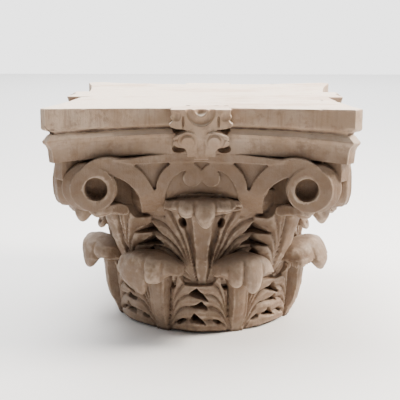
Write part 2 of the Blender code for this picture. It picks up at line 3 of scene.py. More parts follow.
import bpy
import numpy as np
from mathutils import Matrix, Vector


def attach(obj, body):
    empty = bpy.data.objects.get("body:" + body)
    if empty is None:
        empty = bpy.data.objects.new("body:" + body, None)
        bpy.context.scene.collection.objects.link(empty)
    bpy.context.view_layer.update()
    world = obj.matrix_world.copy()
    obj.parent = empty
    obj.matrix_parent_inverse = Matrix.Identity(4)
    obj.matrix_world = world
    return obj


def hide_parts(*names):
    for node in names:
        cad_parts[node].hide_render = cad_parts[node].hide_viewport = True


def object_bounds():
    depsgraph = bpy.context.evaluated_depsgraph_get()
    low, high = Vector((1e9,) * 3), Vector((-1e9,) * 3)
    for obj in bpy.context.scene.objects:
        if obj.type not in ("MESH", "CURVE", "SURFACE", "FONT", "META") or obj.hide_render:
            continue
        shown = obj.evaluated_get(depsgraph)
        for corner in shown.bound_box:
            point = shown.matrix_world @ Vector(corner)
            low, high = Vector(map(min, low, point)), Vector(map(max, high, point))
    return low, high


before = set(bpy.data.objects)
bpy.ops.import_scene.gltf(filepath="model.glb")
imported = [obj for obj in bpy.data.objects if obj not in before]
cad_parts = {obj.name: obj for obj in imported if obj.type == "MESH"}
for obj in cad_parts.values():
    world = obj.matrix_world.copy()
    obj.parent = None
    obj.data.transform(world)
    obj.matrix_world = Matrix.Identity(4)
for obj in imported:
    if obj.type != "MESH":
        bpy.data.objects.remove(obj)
block_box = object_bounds()
print("block from", block_box[0], "to", block_box[1])

# %% [markdown]
# ## Sizes
# A carver draws a capital in parts of its own height. One part is a millimetre on this one, so every
# length in the carving below is in parts, and the block's own box gives the size of a part and the width
# of the abacus.
# %% Read the driving sizes from the block
DRAWN_HEIGHT = 475.0
PART = (block_box[1][2] - block_box[0][2]) / DRAWN_HEIGHT
HALF = (block_box[1][0] - block_box[0][0]) / 2 / PART
SIDES = 4
QUARTER = math.pi / 2
BELL_TOP = 373.0
LIP_TOP = 376.0
EYE_X = HALF - 100.0
EYE_Z = 320.0
FACE_PLANE = HALF - 11.0
print("one part is", round(PART * 1000, 3), "mm, half the abacus is", round(HALF, 1), "parts")

# %% [markdown]
# ## Helpers
# Most of this carving is a skin that closes on itself: a drum, a curled tip, a scroll. Each starts as a
# flat grid primitive, which is rolled up by moving its vertices, so that its two long edges meet and can
# be merged. It could be drawn face by face instead, but a grid keeps the rows even, and even rows take a
# carved relief well.
# %% Roll a grid into a closed skin
def only(piece):
    bpy.ops.object.select_all(action="DESELECT")
    piece.select_set(True)
    bpy.context.view_layer.objects.active = piece


def read_points(piece):
    flat = np.empty(len(piece.data.vertices) * 3)
    piece.data.vertices.foreach_get("co", flat)
    return flat.reshape(-1, 3)


def write_points(piece, points):
    piece.data.vertices.foreach_set("co", np.asarray(points).ravel())
    piece.data.update()


def rolled(name, around, rows, shape):
    """A closed skin. shape takes two arrays, the shares around and along it, and returns points in parts."""
    bpy.ops.object.select_all(action="DESELECT")
    bpy.ops.mesh.primitive_grid_add(
        x_subdivisions=around, y_subdivisions=rows, size=2.0, location=(0.0, 0.0, 0.0)
    )
    piece = bpy.context.active_object
    piece.name = name
    grid = read_points(piece)
    write_points(piece, shape((grid[:, 0] + 1.0) / 2.0, (grid[:, 1] + 1.0) / 2.0) * PART)
    bpy.ops.object.mode_set(mode="EDIT")
    bpy.ops.mesh.select_all(action="SELECT")
    bpy.ops.mesh.remove_doubles(threshold=1e-6)
    bpy.ops.mesh.fill_holes(sides=0)
    bpy.ops.mesh.select_all(action="SELECT")
    bpy.ops.mesh.normals_make_consistent(inside=False)
    bpy.ops.object.mode_set(mode="OBJECT")
    return piece


def apply_modifier(piece, kind, **settings):
    modifier = piece.modifiers.new(kind.lower(), kind)
    for key, value in settings.items():
        setattr(modifier, key, value)
    only(piece)
    bpy.ops.object.modifier_apply(modifier=modifier.name)
    return piece


def joined(name, pieces):
    bpy.ops.object.select_all(action="DESELECT")
    for piece in pieces:
        piece.select_set(True)
    bpy.context.view_layer.objects.active = pieces[0]
    bpy.ops.object.join()
    pieces[0].name = name
    return pieces[0]


def copied(piece, side):
    """A copy of a piece of the front face, turned to another side of the capital, with its own mesh."""
    only(piece)
    bpy.ops.object.duplicate()
    copy = bpy.context.active_object
    points = read_points(copy)
    angle = QUARTER * side
    east = points[:, 0] * math.cos(angle) - points[:, 1] * math.sin(angle)
    north = points[:, 0] * math.sin(angle) + points[:, 1] * math.cos(angle)
    write_points(copy, np.column_stack((east, north, points[:, 2])))
    return copy


def torus(major, minor, segments, place, tilt, turn=0.0, stretch=(1.0, 1.0, 1.0)):
    """A torus tilted about X and turned about Z, with its sizes and place in parts."""
    bpy.ops.object.select_all(action="DESELECT")
    bpy.ops.mesh.primitive_torus_add(
        major_radius=major * PART,
        minor_radius=minor * PART,
        major_segments=segments[0],
        minor_segments=segments[1],
        location=[value * PART for value in place],
        rotation=(math.radians(tilt), 0.0, turn),
    )
    piece = bpy.context.active_object
    piece.scale = stretch
    bpy.ops.object.transform_apply(location=True, rotation=True, scale=True)
    return piece


def triangles(piece):
    piece.data.calc_loop_triangles()
    return len(piece.data.loop_triangles)


def thinned(piece, most):
    """Collapse the flattest faces until at most that many triangles are left."""
    now = triangles(piece)
    if now > most:
        apply_modifier(piece, "DECIMATE", decimate_type="COLLAPSE", ratio=most / now)
    return piece


def fused(piece, voxel, rounds):
    """Melt overlapping skins into one, as in one stone, and take the sharpness off, as weather does."""
    apply_modifier(piece, "REMESH", mode="VOXEL", voxel_size=voxel * PART)
    apply_modifier(piece, "SMOOTH", factor=0.5, iterations=rounds)
    return piece


def weathered(piece, name, grain, depth, inward):
    """Uneven stone: an applied Displace modifier with a cloud texture. inward 1 only takes stone away."""
    clouds = bpy.data.textures.new(name, "CLOUDS")
    clouds.noise_scale = grain * PART
    clouds.noise_depth = 3
    level = 0.5 + 0.5 * inward
    return apply_modifier(piece, "DISPLACE", texture=clouds, strength=depth * PART, mid_level=level)


print("helpers ready for a capital with", SIDES, "sides")


# %% [markdown]
# ## The leaf sheets
# Two rows of acanthus leaves lie on the bell like low relief, and only their tips curl free. So the
# sheets are one drum whose radius follows a formula, much as a turner leaves a band of stone and the
# carver then sinks it. Every leaflet line of an acanthus leaf leaves the stem near its foot and bends
# outwards, so all the lines of a half leaf are one family of curves. The formula names each curve by the
# height where it reaches the leaf's edge.
# %% Small drawing tools for relief
def step(value, low, high):
    """A smooth ramp from 0 at low to 1 at high."""
    share = np.clip((value - low) / (high - low), 0.0, 1.0)
    return share * share * (3.0 - 2.0 * share)


def wrap(degrees, pitch):
    return (degrees + pitch / 2) % pitch - pitch / 2


def along(degrees, radius):
    return np.radians(degrees) * radius


def inside_triangle(across, up, corners, edge):
    """1 inside a triangle whose corners run clockwise, falling to 0 over that edge."""
    deepest = np.full_like(across, -1e9)
    for (x0, z0), (x1, z1) in zip(corners, corners[1:] + corners[:1]):
        length = math.hypot(x1 - x0, z1 - z0)
        deepest = np.maximum(deepest, (-(z1 - z0) * (across - x0) + (x1 - x0) * (up - z0)) / length)
    return 1.0 - step(deepest, -edge / 2, edge / 2)


def inside_oval(across, up, centre, long_half, short_half, lean):
    """1 inside an oval whose long axis leans away from the stem by that many degrees."""
    angle = math.radians(lean)
    dx, dz = across - centre[0], up - centre[1]
    long_way = (dx * math.sin(angle) + dz * math.cos(angle)) / long_half
    short_way = (dx * math.cos(angle) - dz * math.sin(angle)) / short_half
    return 1.0 - step(np.hypot(long_way, short_way), 0.82, 1.1)


def fan(across, up, stem, reach, bend):
    """The height at the leaf's edge of the line through each point, and how open the fan is there."""
    way_out = np.clip((across - stem) / (reach - stem), 0.0, 1.0)
    spread = np.maximum(1.0 - (1.0 - way_out) ** bend, 0.03)
    return up / spread, spread


def leaflets(height, spread, furrows, depth):
    """Rounded leaflets between cut furrows, flatter where the fan closes."""
    relief = np.zeros_like(height)
    for low, high in zip(furrows, furrows[1:]):
        here = (height >= low) & (height < high)
        place = np.clip((height - low) / (high - low), 0.0, 1.0)
        rise = np.minimum(depth, 0.5 * (high - low) * spread)
        relief = np.where(here, -rise * np.abs(2.0 * place - 1.0) ** 2.6, relief)
    return relief


def waver(degrees, up, seed):
    """A slow hand-made wander, the same each time, so that no two leaves are quite alike."""
    turn = np.radians(degrees)
    return (np.sin(5.0 * turn + 0.031 * up + seed) + np.sin(11.0 * turn - 0.047 * up + 2.3 * seed)
            + np.sin(17.0 * turn + 0.083 * up + 4.1 * seed)) / 3.0


print("wander of the hand at the front:", round(float(waver(0.0, 100.0, 1.0)), 2))


# %% [markdown]
# The dark triangles between the leaflets were bored with a drill, right through the leaf to the bell.
# They are given by their corners, as across and up from the line where two leaves touch.
# %% Draw both rows of leaves
BORE = 14.0
LOWER_TURN = 20.5
LOWER_PITCH = 45.0
UPPER_PITCH = 90.0
CORNER = 45.0
CENTRE_LEAF_REACH = 29.0
LOWER_DEEP = (0.0, 31.0, 60.0, 88.0, 116.0, 168.0, 290.0, 4000.0)
LOWER_FINE = (0.0, 16.0, 31.0, 45.0, 60.0, 74.0, 88.0, 101.0, 116.0, 140.0, 168.0, 220.0, 290.0, 4000.0)
CENTRE_DEEP = (0.0, 26.0, 51.0, 78.0, 106.0, 136.0, 185.0, 300.0, 6000.0)
CENTRE_FINE = (0.0, 13.0, 26.0, 39.0, 51.0, 65.0, 78.0, 92.0, 106.0, 120.0, 136.0, 158.0, 185.0, 235.0, 300.0,
               6000.0)
CORNER_DEEP = (0.0, 35.0, 62.0, 90.0, 125.0, 175.0, 260.0, 420.0, 6000.0)
LOWER_FURROW = 8.5
LOWER_LINE = 1.8
CENTRE_FURROW = 8.5
CENTRE_LINE = 1.4
CORNER_FURROW = 8.0
# The skin's mean radius where each leaf is drawn, and the height at which the upper leaves' lines start.
LOWER_RADIUS = 206.0
UPPER_RADIUS = 214.0
CORNER_RADIUS = 235.0
UPPER_START = 104.0
# How far the hand wanders up and down, in parts, and round the drum, in degrees.
WANDER_UP = 1.6
LOWER_WANDER = 0.35
UPPER_WANDER = 0.4
# A bored oval is its centre across and up from the stem, its half length and half width, and its lean.
LOWER_EYE = ((29.0, 106.0), 10.5, 5.8, 20.0)
LOWER_PIT = ((43.0, 25.0), 9.5, 4.0, 62.0)
CENTRE_EYE = ((39.5, 237.0), 10.5, 6.0, 20.0)
HOLE_EDGE = 2.0
TOP_EDGE = 1.5
LOWER_HOLES = (
    [(-20.0, 87.0), (-3.0, 101.0), (19.0, 73.0)],
    [(-16.5, 60.0), (5.0, 71.5), (16.5, 55.0)],
    [(-20.0, 26.0), (-9.0, 46.0), (14.4, 22.0)],
)
UPPER_HOLES = (
    [(-24.0, 211.0), (-1.0, 233.0), (27.0, 212.0)],
    [(-28.0, 188.0), (-4.0, 205.0), (27.0, 184.0)],
    [(-20.0, 162.0), (2.0, 179.0), (20.0, 158.0)],
)


def bell_ground(up):
    """Radius of the bare bell behind the leaves."""
    heights = (-20.0, 0.0, 60.0, 110.0, 150.0, 200.0, 250.0, 280.0, 320.0, 350.0, BELL_TOP)
    radii = (184.0, 184.0, 187.0, 191.0, 194.0, 197.0, 204.0, 211.0, 221.0, 230.0, 236.0)
    return np.interp(up, heights, radii)


def calyx(up):
    """Radius of the soft collar between the tops of the upper leaves and the feet of the bands."""
    return np.interp(up, (236.0, 250.0, 262.0, 276.0, 300.0), (206.0, 215.0, 224.0, 229.0, 231.0))


def lower_leaves(degrees, up):
    edge = along(LOWER_PITCH / 2, LOWER_RADIUS)
    up_drawn = up + WANDER_UP * waver(degrees, up, 1.0)
    turn = degrees - LOWER_TURN + LOWER_WANDER * waver(degrees, up, 3.0)
    across = along(np.abs(wrap(turn, LOWER_PITCH)), LOWER_RADIUS)
    between = along(wrap(turn + LOWER_PITCH / 2, LOWER_PITCH), LOWER_RADIUS)
    stem = 14.5 + 0.04 * up
    height, spread = fan(across, np.maximum(up_drawn, 0.0), stem, edge, 4.0)
    sheet = np.interp(up, (-20.0, 0.0, 20.0, 60.0, 100.0, 128.0), (199.0, 199.0, 203.5, 209.0, 215.0, 221.0))
    sheet = sheet + 5.0 * step(across, stem, edge) - 3.5 * np.exp(-((across - stem - 4.0) / 4.5) ** 2)
    sheet = sheet + leaflets(height, spread, LOWER_DEEP, LOWER_FURROW)
    sheet = sheet + leaflets(height, spread, LOWER_FINE, LOWER_LINE)
    hollow = inside_oval(across, up, *LOWER_EYE)
    hollow = np.maximum(hollow, inside_oval(across, up, *LOWER_PIT))
    for corners in LOWER_HOLES:
        hollow = np.maximum(hollow, inside_triangle(between, up_drawn, corners, HOLE_EDGE))
    rib = np.interp(up, (-20.0, 0.0, 16.0, 40.0, 70.0, 130.0), (200.0, 200.0, 206.0, 219.0, 227.0, 232.0))
    rib = rib - 1.6 * np.exp(-((across - 0.55 * stem) / 2.2) ** 2)
    sheet = sheet + (bell_ground(up) - BORE - sheet) * hollow
    sheet = sheet + (rib - sheet) * (1.0 - step(across, stem - 4.0, stem + 1.5))
    top = 109.0 + 22.0 * (1.0 - step(across, 38.0, 55.0)) + 1.5 * waver(degrees, up, 5.0)
    return sheet + (bell_ground(up) - sheet) * step(up, top - TOP_EDGE, top + TOP_EDGE)


def upper_leaves(degrees, up):
    up_drawn = up + WANDER_UP * waver(degrees, up, 2.0)
    azimuth = np.abs(wrap(degrees + UPPER_WANDER * waver(degrees, up, 4.0), UPPER_PITCH))
    rise = np.maximum(up_drawn - UPPER_START, 0.0)
    ground = np.interp(up, (100.0, 150.0, 200.0, 262.0), (204.0, 208.5, 213.0, 220.0))

    across = along(azimuth, UPPER_RADIUS)
    stem = 9.0 + 0.085 * rise
    height, spread = fan(across, rise, stem, along(CENTRE_LEAF_REACH, UPPER_RADIUS), 2.6)
    centre = ground + leaflets(height, spread, CENTRE_DEEP, CENTRE_FURROW)
    centre = centre + leaflets(height, spread, CENTRE_FINE, CENTRE_LINE)
    eye = inside_oval(across, up, *CENTRE_EYE)
    centre = centre + (bell_ground(up) - BORE - centre) * eye
    rib = np.interp(up, (100.0, 150.0, 215.0, 240.0, 270.0), (206.0, 214.0, 222.0, 228.0, 234.0))
    centre = centre + (rib - centre) * (1.0 - step(across, stem - 3.0, stem + 2.0))

    from_corner = CORNER - azimuth
    aside = along(from_corner, CORNER_RADIUS)
    narrow = CORNER - CENTRE_LEAF_REACH
    stem = 7.0 + 0.05 * rise
    height, spread = fan(aside, rise, stem, along(narrow, CORNER_RADIUS), 3.5)
    swell = np.interp(up, (112.0, 141.0, 192.0, 241.0, 275.0), (2.0, 12.0, 32.0, 46.0, 58.0))
    corner = ground + swell * np.cos(np.clip(from_corner / narrow, 0.0, 1.0) * QUARTER)
    corner = corner + leaflets(height, spread, CORNER_DEEP, CORNER_FURROW)
    corner = corner + 5.0 * (1.0 - step(aside, stem - 3.0, stem + 2.0))

    sheet = np.where(azimuth < CENTRE_LEAF_REACH, centre, corner)
    between = along(azimuth - CENTRE_LEAF_REACH, UPPER_RADIUS)
    hollow = np.zeros_like(sheet)
    for corners in UPPER_HOLES:
        hollow = np.maximum(hollow, inside_triangle(between, up_drawn, corners, HOLE_EDGE))
    sheet = sheet + (bell_ground(up) - BORE - sheet) * hollow
    edge_height = 246.0 + 20.0 * (1.0 - step(across, 55.0, 75.0))
    edge_height = edge_height + 26.0 * (1.0 - step(aside, 20.0, 50.0))
    top = np.where(azimuth < 20.0, 266.0, edge_height) + 1.5 * waver(degrees, up, 6.0)
    return sheet + (calyx(up) - sheet) * step(up, top - TOP_EDGE, top + TOP_EDGE)


def drum(low, high, relief):
    """The stretch of the leafy drum between two heights, as a shape for a rolled grid."""
    def shape(around, up_share):
        degrees = around * 360.0
        up = low + (high - low) * up_share
        radii = relief(degrees, up)
        turn = np.radians(degrees)
        return np.column_stack((radii * np.sin(turn), -radii * np.cos(turn), up))
    return shape


print("leaves in the lower row:", round(360.0 / LOWER_PITCH), "and in the upper row:", 2 * SIDES)


# %% [markdown]
# ## The curled tips
# At the top each leaf bends outwards and hangs over, cut into rounded lobes with a crease between two
# lobes. A tip is drawn by its outline as seen from the side, from its root in the bell, out under the
# leaf, round the lip and back over the top. The outline is then carried across the leaf, smaller towards
# the sides, and each lobe pushes it out and lets its lip hang. It could be a bent plane with a thickness,
# but then its root would need a seam.
# %% Draw a curled tip
# A form names the curl's section, in parts: the radius of its root and of its lip, how far the lip draws
# in at the sides, the heights of its crest and of the notch between two lobes, its underside in the
# middle and at the sides, the droop of the crest towards the sides, and how far the front edge lies below
# the crest.
LOWER_FORM = (230.0, 285.0, 22.0, 181.0, 131.0, 124.0, 146.0, 24.0, 9.0)
BLUNT_FORM = (230.0, 275.0, 14.0, 179.0, 140.0, 128.0, 146.0, 12.0, 2.0)
HOODED_FORM = (230.0, 283.0, 20.0, 184.0, 140.0, 128.0, 148.0, 20.0, 30.0)
CENTRE_FORM = (226.0, 270.0, 22.0, 295.0, 267.0, 257.0, 270.0, 10.0, 4.0)
CORNER_FORM = (282.0, 341.0, 10.0, 285.0, 270.0, 257.0, 262.0, 3.0, 0.0)
# A lobe is the degrees at which it starts, hangs lowest and ends, the height of its lip, and its push
# outwards. Its lip is round. The broad flap of the left leaf is the one with straight edges.
RIGHT_LOBES = ((-15.0, -11.5, -9.0, 141.0, -3.0), (-9.0, -5.6, -3.2, 122.0, 2.0),
               (-3.2, 1.0, 5.2, 108.0, 5.0), (5.2, 9.2, 14.0, 138.0, -2.0))
LEFT_LOBES = ((-19.5, -1.6, 0.6, 98.0, -8.0), (0.6, 4.2, 7.6, 126.0, 6.0),
              (7.6, 11.0, 15.5, 141.0, -4.0))
SIDE_LOBES = ((-16.5, -12.5, -8.5, 143.0, -4.0), (-8.5, -5.0, -1.5, 126.0, 1.0),
              (-1.5, 2.2, 6.0, 110.0, 4.0), (6.0, 9.3, 12.2, 127.0, 1.0), (12.2, 14.5, 17.0, 146.0, -4.0))
HOOD_LOBES = ((-16.5, -12.0, -6.5, 146.0, -4.0), (-6.5, -1.0, 5.0, 117.0, 3.0),
              (5.0, 9.0, 12.2, 132.0, 0.0), (12.2, 14.5, 17.0, 148.0, -4.0))
BLUNT_LOBES = ((-16.0, -10.0, -4.0, 140.0, -3.0), (-4.0, 2.5, 9.0, 113.0, 4.0),
               (9.0, 13.0, 17.0, 143.0, -3.0))
CENTRE_LOBES = ((-20.5, -16.0, -11.0, 272.0, -5.0), (-11.0, -7.5, -3.8, 259.0, 1.0),
                (-3.8, 0.9, 5.0, 241.0, 8.0), (5.0, 8.8, 12.4, 268.0, 1.0), (12.4, 15.6, 19.5, 277.0, -5.0))
CORNER_LOBES = ((-10.5, -7.0, -3.7, 259.0, 0.0), (-3.7, 0.0, 3.7, 246.0, 2.0),
                (3.7, 7.0, 10.5, 259.0, 0.0))
# Two tips beyond the sides are broken off near their roots.
STUMP_FORM = (226.0, 247.0, 8.0, 144.0, 132.0, 114.0, 126.0, 12.0, 3.0)
STUMP_LOBES = ((-11.0, -5.0, -1.0, 124.0, 0.0), (-1.0, 4.0, 10.0, 119.0, -3.0))
# The depth of a crease, the width in degrees from which a lobe counts as a flap, and the grid of a tip.
CREASE = 9.0
FLAP = 15.0
TIP_GRID = (84, 140)


def closed_curve(keys, around):
    """A smooth closed curve near its key points, one point on it for each entry of the arrays."""
    stack = np.array([np.broadcast_to(key, around.shape) for key in keys])
    place = np.clip(around, 0.0, 1.0) * len(keys)
    first = np.floor(place).astype(int)
    share = place - first
    column = np.arange(len(around))
    before, here, after = (stack[(first + shift) % len(keys), column] for shift in (-1, 0, 1))
    middle = (0.5 + share - share * share) * here
    return 0.5 * (1.0 - share) ** 2 * before + middle + 0.5 * share ** 2 * after


def tip_shape(azimuth, form, lobes):
    """A rolled grid's shape: the section runs around it, and the width of the leaf runs along it."""
    root, lip, draw_in, crest, notch, under_middle, under_side, droop, slope = form

    def shape(around, width_share):
        turn = lobes[0][0] + (lobes[-1][2] - lobes[0][0]) * width_share
        side = np.abs(2.0 * width_share - 1.0)
        hang = np.full_like(turn, notch)
        inset = np.full_like(turn, -CREASE)
        for start, lowest, end, bottom, push in lobes:
            before, past = (lowest - turn) / (lowest - start), (turn - lowest) / (end - lowest)
            across = np.clip(np.where(turn < lowest, before, past), 0.0, 1.0)
            arch = (1.0 - across ** 1.7) ** 0.75
            swell = (1.0 - across ** 3.4) ** 0.5
            here = (turn >= start) & (turn <= end)
            if lowest - start > FLAP:
                arch = np.where(turn < lowest, 1.0 - across ** 1.3, arch)
            hang = np.where(here, bottom + (notch - bottom) * (1.0 - arch), hang)
            inset = np.where(here, push * swell - CREASE * (1.0 - swell), inset)
        closing = np.sqrt(np.maximum(1.0 - (np.maximum(side - 0.85, 0.0) / 0.15) ** 2, 0.0))
        reach = root + (lip - draw_in * side * side - root) * (0.35 + 0.65 * closing)
        top = crest - droop * side * side - 4.0 * (1.0 - closing)
        under = under_middle + (under_side - under_middle) * side ** 1.4
        hang = under + (hang - under) * closing
        middle = (top - 15.0 + hang) / 2
        radius = closed_curve((
            root - 25.0, root, (root + reach) / 2, reach - 10.0 + 0.35 * inset, reach + 0.8 * inset,
            reach + inset, reach - 2.0 + inset, reach - 8.0 + inset, reach - 16.0 + inset,
            reach - 21.0 + 0.5 * inset, reach - 26.0, root + 9.0, root - 5.0, root - 25.0,
        ), around)
        up = closed_curve((
            top - 8.0, top, top, top - 0.5 * slope, top - 10.0 - slope,
            middle - 0.3 * slope, hang + 6.0, hang - 2.0, hang - 1.0,
            hang + 9.0, under + 2.0, under, under - 5.0, under - 8.0,
        ), around)
        angle = np.radians(azimuth + turn)
        return np.column_stack((radius * np.sin(angle), -radius * np.cos(angle), up))
    return shape


def tip(azimuth, form, lobes):
    return rolled("tip", *TIP_GRID, tip_shape(azimuth, form, lobes))


def mirrored_lobes(lobes):
    turned = []
    for start, lowest, end, bottom, push in reversed(lobes):
        turned.append((-end, -lowest, -start, bottom, push))
    return tuple(turned)


print("the front tips have", len(LEFT_LOBES), "and", len(RIGHT_LOBES), "lobes")


# %% [markdown]
# ## Carve the lower row
# The drum's lower stretch and its eight tips are joined and melted into one skin with a voxel remesh. A
# Boolean union would keep hard lines where a tip leaves its leaf, and on the real stone that passage is
# soft.
# %% Lower leaves
LOWER_VOXEL = 1.45
PIECE_TRIANGLES = 190000
DRUM_AROUND = 840
LOWER_ROWS = 100
LOWER_FROM = -6.0
LOWER_TO = 150.0
LEAF_WEAR = (26.0, 4.0)

lower_parts = [rolled("lower_drum", DRUM_AROUND, LOWER_ROWS, drum(LOWER_FROM, LOWER_TO, lower_leaves))]
row = (RIGHT_LOBES, HOOD_LOBES, STUMP_LOBES, mirrored_lobes(RIGHT_LOBES), SIDE_LOBES, STUMP_LOBES,
       BLUNT_LOBES, LEFT_LOBES)
forms = (LOWER_FORM, HOODED_FORM, STUMP_FORM, LOWER_FORM, LOWER_FORM, STUMP_FORM,
         BLUNT_FORM, LOWER_FORM)
for turn, (lobes, form) in enumerate(zip(row, forms)):
    lower_parts.append(tip(LOWER_TURN + LOWER_PITCH * turn, form, lobes))
lower = fused(joined("lower_leaves", lower_parts), LOWER_VOXEL, 1)
weathered(lower, "leaf_wear", *LEAF_WEAR, 0)
only(lower)
bpy.ops.object.mode_set(mode="EDIT")
bpy.ops.mesh.select_all(action="SELECT")
bpy.ops.mesh.bisect(plane_co=(0.0, 0.0, 0.0), plane_no=(0.0, 0.0, 1.0), clear_inner=True, use_fill=True)
bpy.ops.object.mode_set(mode="OBJECT")
print("lower leaves before thinning:", triangles(lower))
thinned(lower, PIECE_TRIANGLES)
# Thinning may pull a vertex a hair below the flat bed, so the bed is levelled again.
bed_points = read_points(lower)
bed_points[:, 2] = np.maximum(bed_points[:, 2], 0.0)
write_points(lower, bed_points)

# %% [markdown]
# ## Carve the upper row
# The leaf in the middle of each face hangs its tip below the small scrolls, and the leaf under each
# corner reaches out to carry the volutes.
# %% Upper leaves
UPPER_VOXEL = 1.5

# On the flanks that look sideways a leaflet of each corner leaf rolls up into a knob with a drilled middle.
KNOBS = (-123.0, -57.0, 57.0, 123.0)
KNOB_RADIUS = 251.0
KNOB_UP = 221.0
KNOB_RING = 8.0
KNOB_THICK = 6.0
KNOB_TILT = 65.0
UPPER_ROWS = 120
UPPER_FROM = 98.0
UPPER_TO = 300.0


def knob(azimuth):
    """A small ring of stone, with a ball behind it that ties it to the leaf."""
    angle = math.radians(azimuth)
    outward = (math.sin(angle), -math.cos(angle))
    place = (KNOB_RADIUS * outward[0], KNOB_RADIUS * outward[1], KNOB_UP)
    curl = torus(KNOB_RING, KNOB_THICK, (32, 16), place, KNOB_TILT, angle)
    behind = KNOB_RADIUS - 15.0
    bpy.ops.mesh.primitive_uv_sphere_add(
        segments=24,
        ring_count=12,
        radius=13.0 * PART,
        location=(behind * PART * outward[0], behind * PART * outward[1], (KNOB_UP + 4.0) * PART),
    )
    return joined("knob", [curl, bpy.context.active_object])


upper_parts = [rolled("upper_drum", DRUM_AROUND, UPPER_ROWS, drum(UPPER_FROM, UPPER_TO, upper_leaves))]
for turn in range(SIDES):
    upper_parts.append(tip(1.0 + UPPER_PITCH * turn, CENTRE_FORM, CENTRE_LOBES))
    upper_parts.append(tip(CORNER + UPPER_PITCH * turn, CORNER_FORM, CORNER_LOBES))
for azimuth in KNOBS:
    upper_parts.append(knob(azimuth))
upper = fused(joined("upper_leaves", upper_parts), UPPER_VOXEL, 1)
weathered(upper, "upper_wear", *LEAF_WEAR, 0)
print("upper leaves before thinning:", triangles(upper))
thinned(upper, PIECE_TRIANGLES)

# %% [markdown]
# ## The walls with their volutes
# Above the leaves each face is a wall, hollow in plan like the abacus over it. Bands rise from it on both
# sides and roll into the corner volutes, and two narrower bands roll in to small scrolls in the middle.
# Each of these is a flat outline: a filled circle primitive whose vertices are moved to the outline, cut
# into strips so that it can bend, and extruded back into the stone.
# %% A plate that follows the hollow wall
WALL_MIDDLE = FACE_PLANE - 49.0
WALL_REACH = EYE_X + 30.0
LEAN_TOP = 303.0
LEAN_RATE = 1.25
RING_LEAN = 0.14


def wall_depth(across, up):
    """Distance of the wall from the axis plane: hollow in the middle, and drawn in towards its foot."""
    share = np.minimum(np.abs(across) / WALL_REACH, 1.0)
    depth = WALL_MIDDLE + (FACE_PLANE - WALL_MIDDLE) * (1.0 - np.cos(math.pi * share)) / 2
    rate = RING_LEAN + (LEAN_RATE - RING_LEAN) * (1.0 - step(np.abs(across), 118.0, 140.0))
    drop = LEAN_TOP - up
    return depth - rate * (drop + np.sqrt(drop * drop + 140.0)) / 2


def plate(name, outline, recess, back, strips=7.0):
    """An outline in the plane of the front face, as a plate between the wall and a flat back."""
    bpy.ops.object.select_all(action="DESELECT")
    bpy.ops.mesh.primitive_circle_add(
        vertices=len(outline), fill_type="NGON", radius=1.0, location=(0.0, 0.0, 0.0)
    )
    piece = bpy.context.active_object
    piece.name = name
    flat = np.array([(across, 0.0, up) for across, up in outline])
    write_points(piece, flat * PART)
    bpy.ops.object.mode_set(mode="EDIT")
    least, most = flat[:, 0].min(), flat[:, 0].max()
    low, high = flat[:, 2].min(), flat[:, 2].max()
    for axis, start, stop in (((1.0, 0.0, 0.0), least, most), ((0.0, 0.0, 1.0), low, high)):
        for cut in range(1, int((stop - start) / strips) + 1):
            at = [PART * (start + cut * strips) * value for value in axis]
            bpy.ops.mesh.select_all(action="SELECT")
            bpy.ops.mesh.bisect(plane_co=at, plane_no=axis)
    bpy.ops.mesh.select_all(action="SELECT")
    bpy.ops.mesh.extrude_region_move(TRANSFORM_OT_translate={"value": (0.0, 1.0, 0.0)})
    bpy.ops.object.mode_set(mode="OBJECT")
    points = read_points(piece)
    behind = points[:, 1] > 0.5
    front = -(wall_depth(points[:, 0] / PART, points[:, 2] / PART) - recess) * PART
    points[:, 1] = np.where(behind, -back * PART, front)
    write_points(piece, points)
    bpy.ops.object.mode_set(mode="EDIT")
    bpy.ops.mesh.select_all(action="SELECT")
    bpy.ops.mesh.normals_make_consistent(inside=False)
    bpy.ops.object.mode_set(mode="OBJECT")
    return piece


def mirrored(outline):
    return [(-across, up) for across, up in outline][::-1]


print("the wall is hollow by", FACE_PLANE - WALL_MIDDLE, "parts")


# %% [markdown]
# The volute's band unrolls from a ring round its eye. Its outer and inner edges are two spirals from the
# same eye, which open at different rates, so the band is thin at the ring and broad where it stands on
# the bell.
# %% Outlines of the bands
RING_X = EYE_X + 4.5
RING_RADIUS = 44.0
EYE_RADIUS = 22.5
STEM_FOOT = 257.0


def polar(centre_x, centre_z, radius, degrees):
    angle = math.radians(degrees)
    return (centre_x + radius * math.cos(angle), centre_z + radius * math.sin(angle))


def span(start, stop, count):
    return [start + (stop - start) * index / (count - 1) for index in range(count)]


def band_outer(degrees):
    past = max(degrees - 60.0, 0.0)
    return polar(RING_X, EYE_Z, RING_RADIUS + 0.31 * past + 0.0019 * past * past, degrees)


def band_inner(degrees):
    past = max(degrees - 145.0, 0.0)
    return polar(EYE_X, EYE_Z, RING_RADIUS - 2.0 + 0.5 * past + 0.0075 * past * past, degrees)


def band_fade(degrees):
    """The band's lower edge where it runs out over the ring, from the ring's side to the eye."""
    share = (degrees - 40.0) / 105.0
    return polar(EYE_X, EYE_Z, EYE_RADIUS + (RING_RADIUS - 2.0 - EYE_RADIUS) * share, degrees)


def helix_outer(degrees):
    return (38.0 + 50.0 * math.cos(math.radians(degrees)), 312.0 + 57.0 * math.sin(math.radians(degrees)))


def helix_inner(degrees):
    return (24.0 + 48.0 * math.cos(math.radians(degrees)), 283.0 + 67.0 * math.sin(math.radians(degrees)))


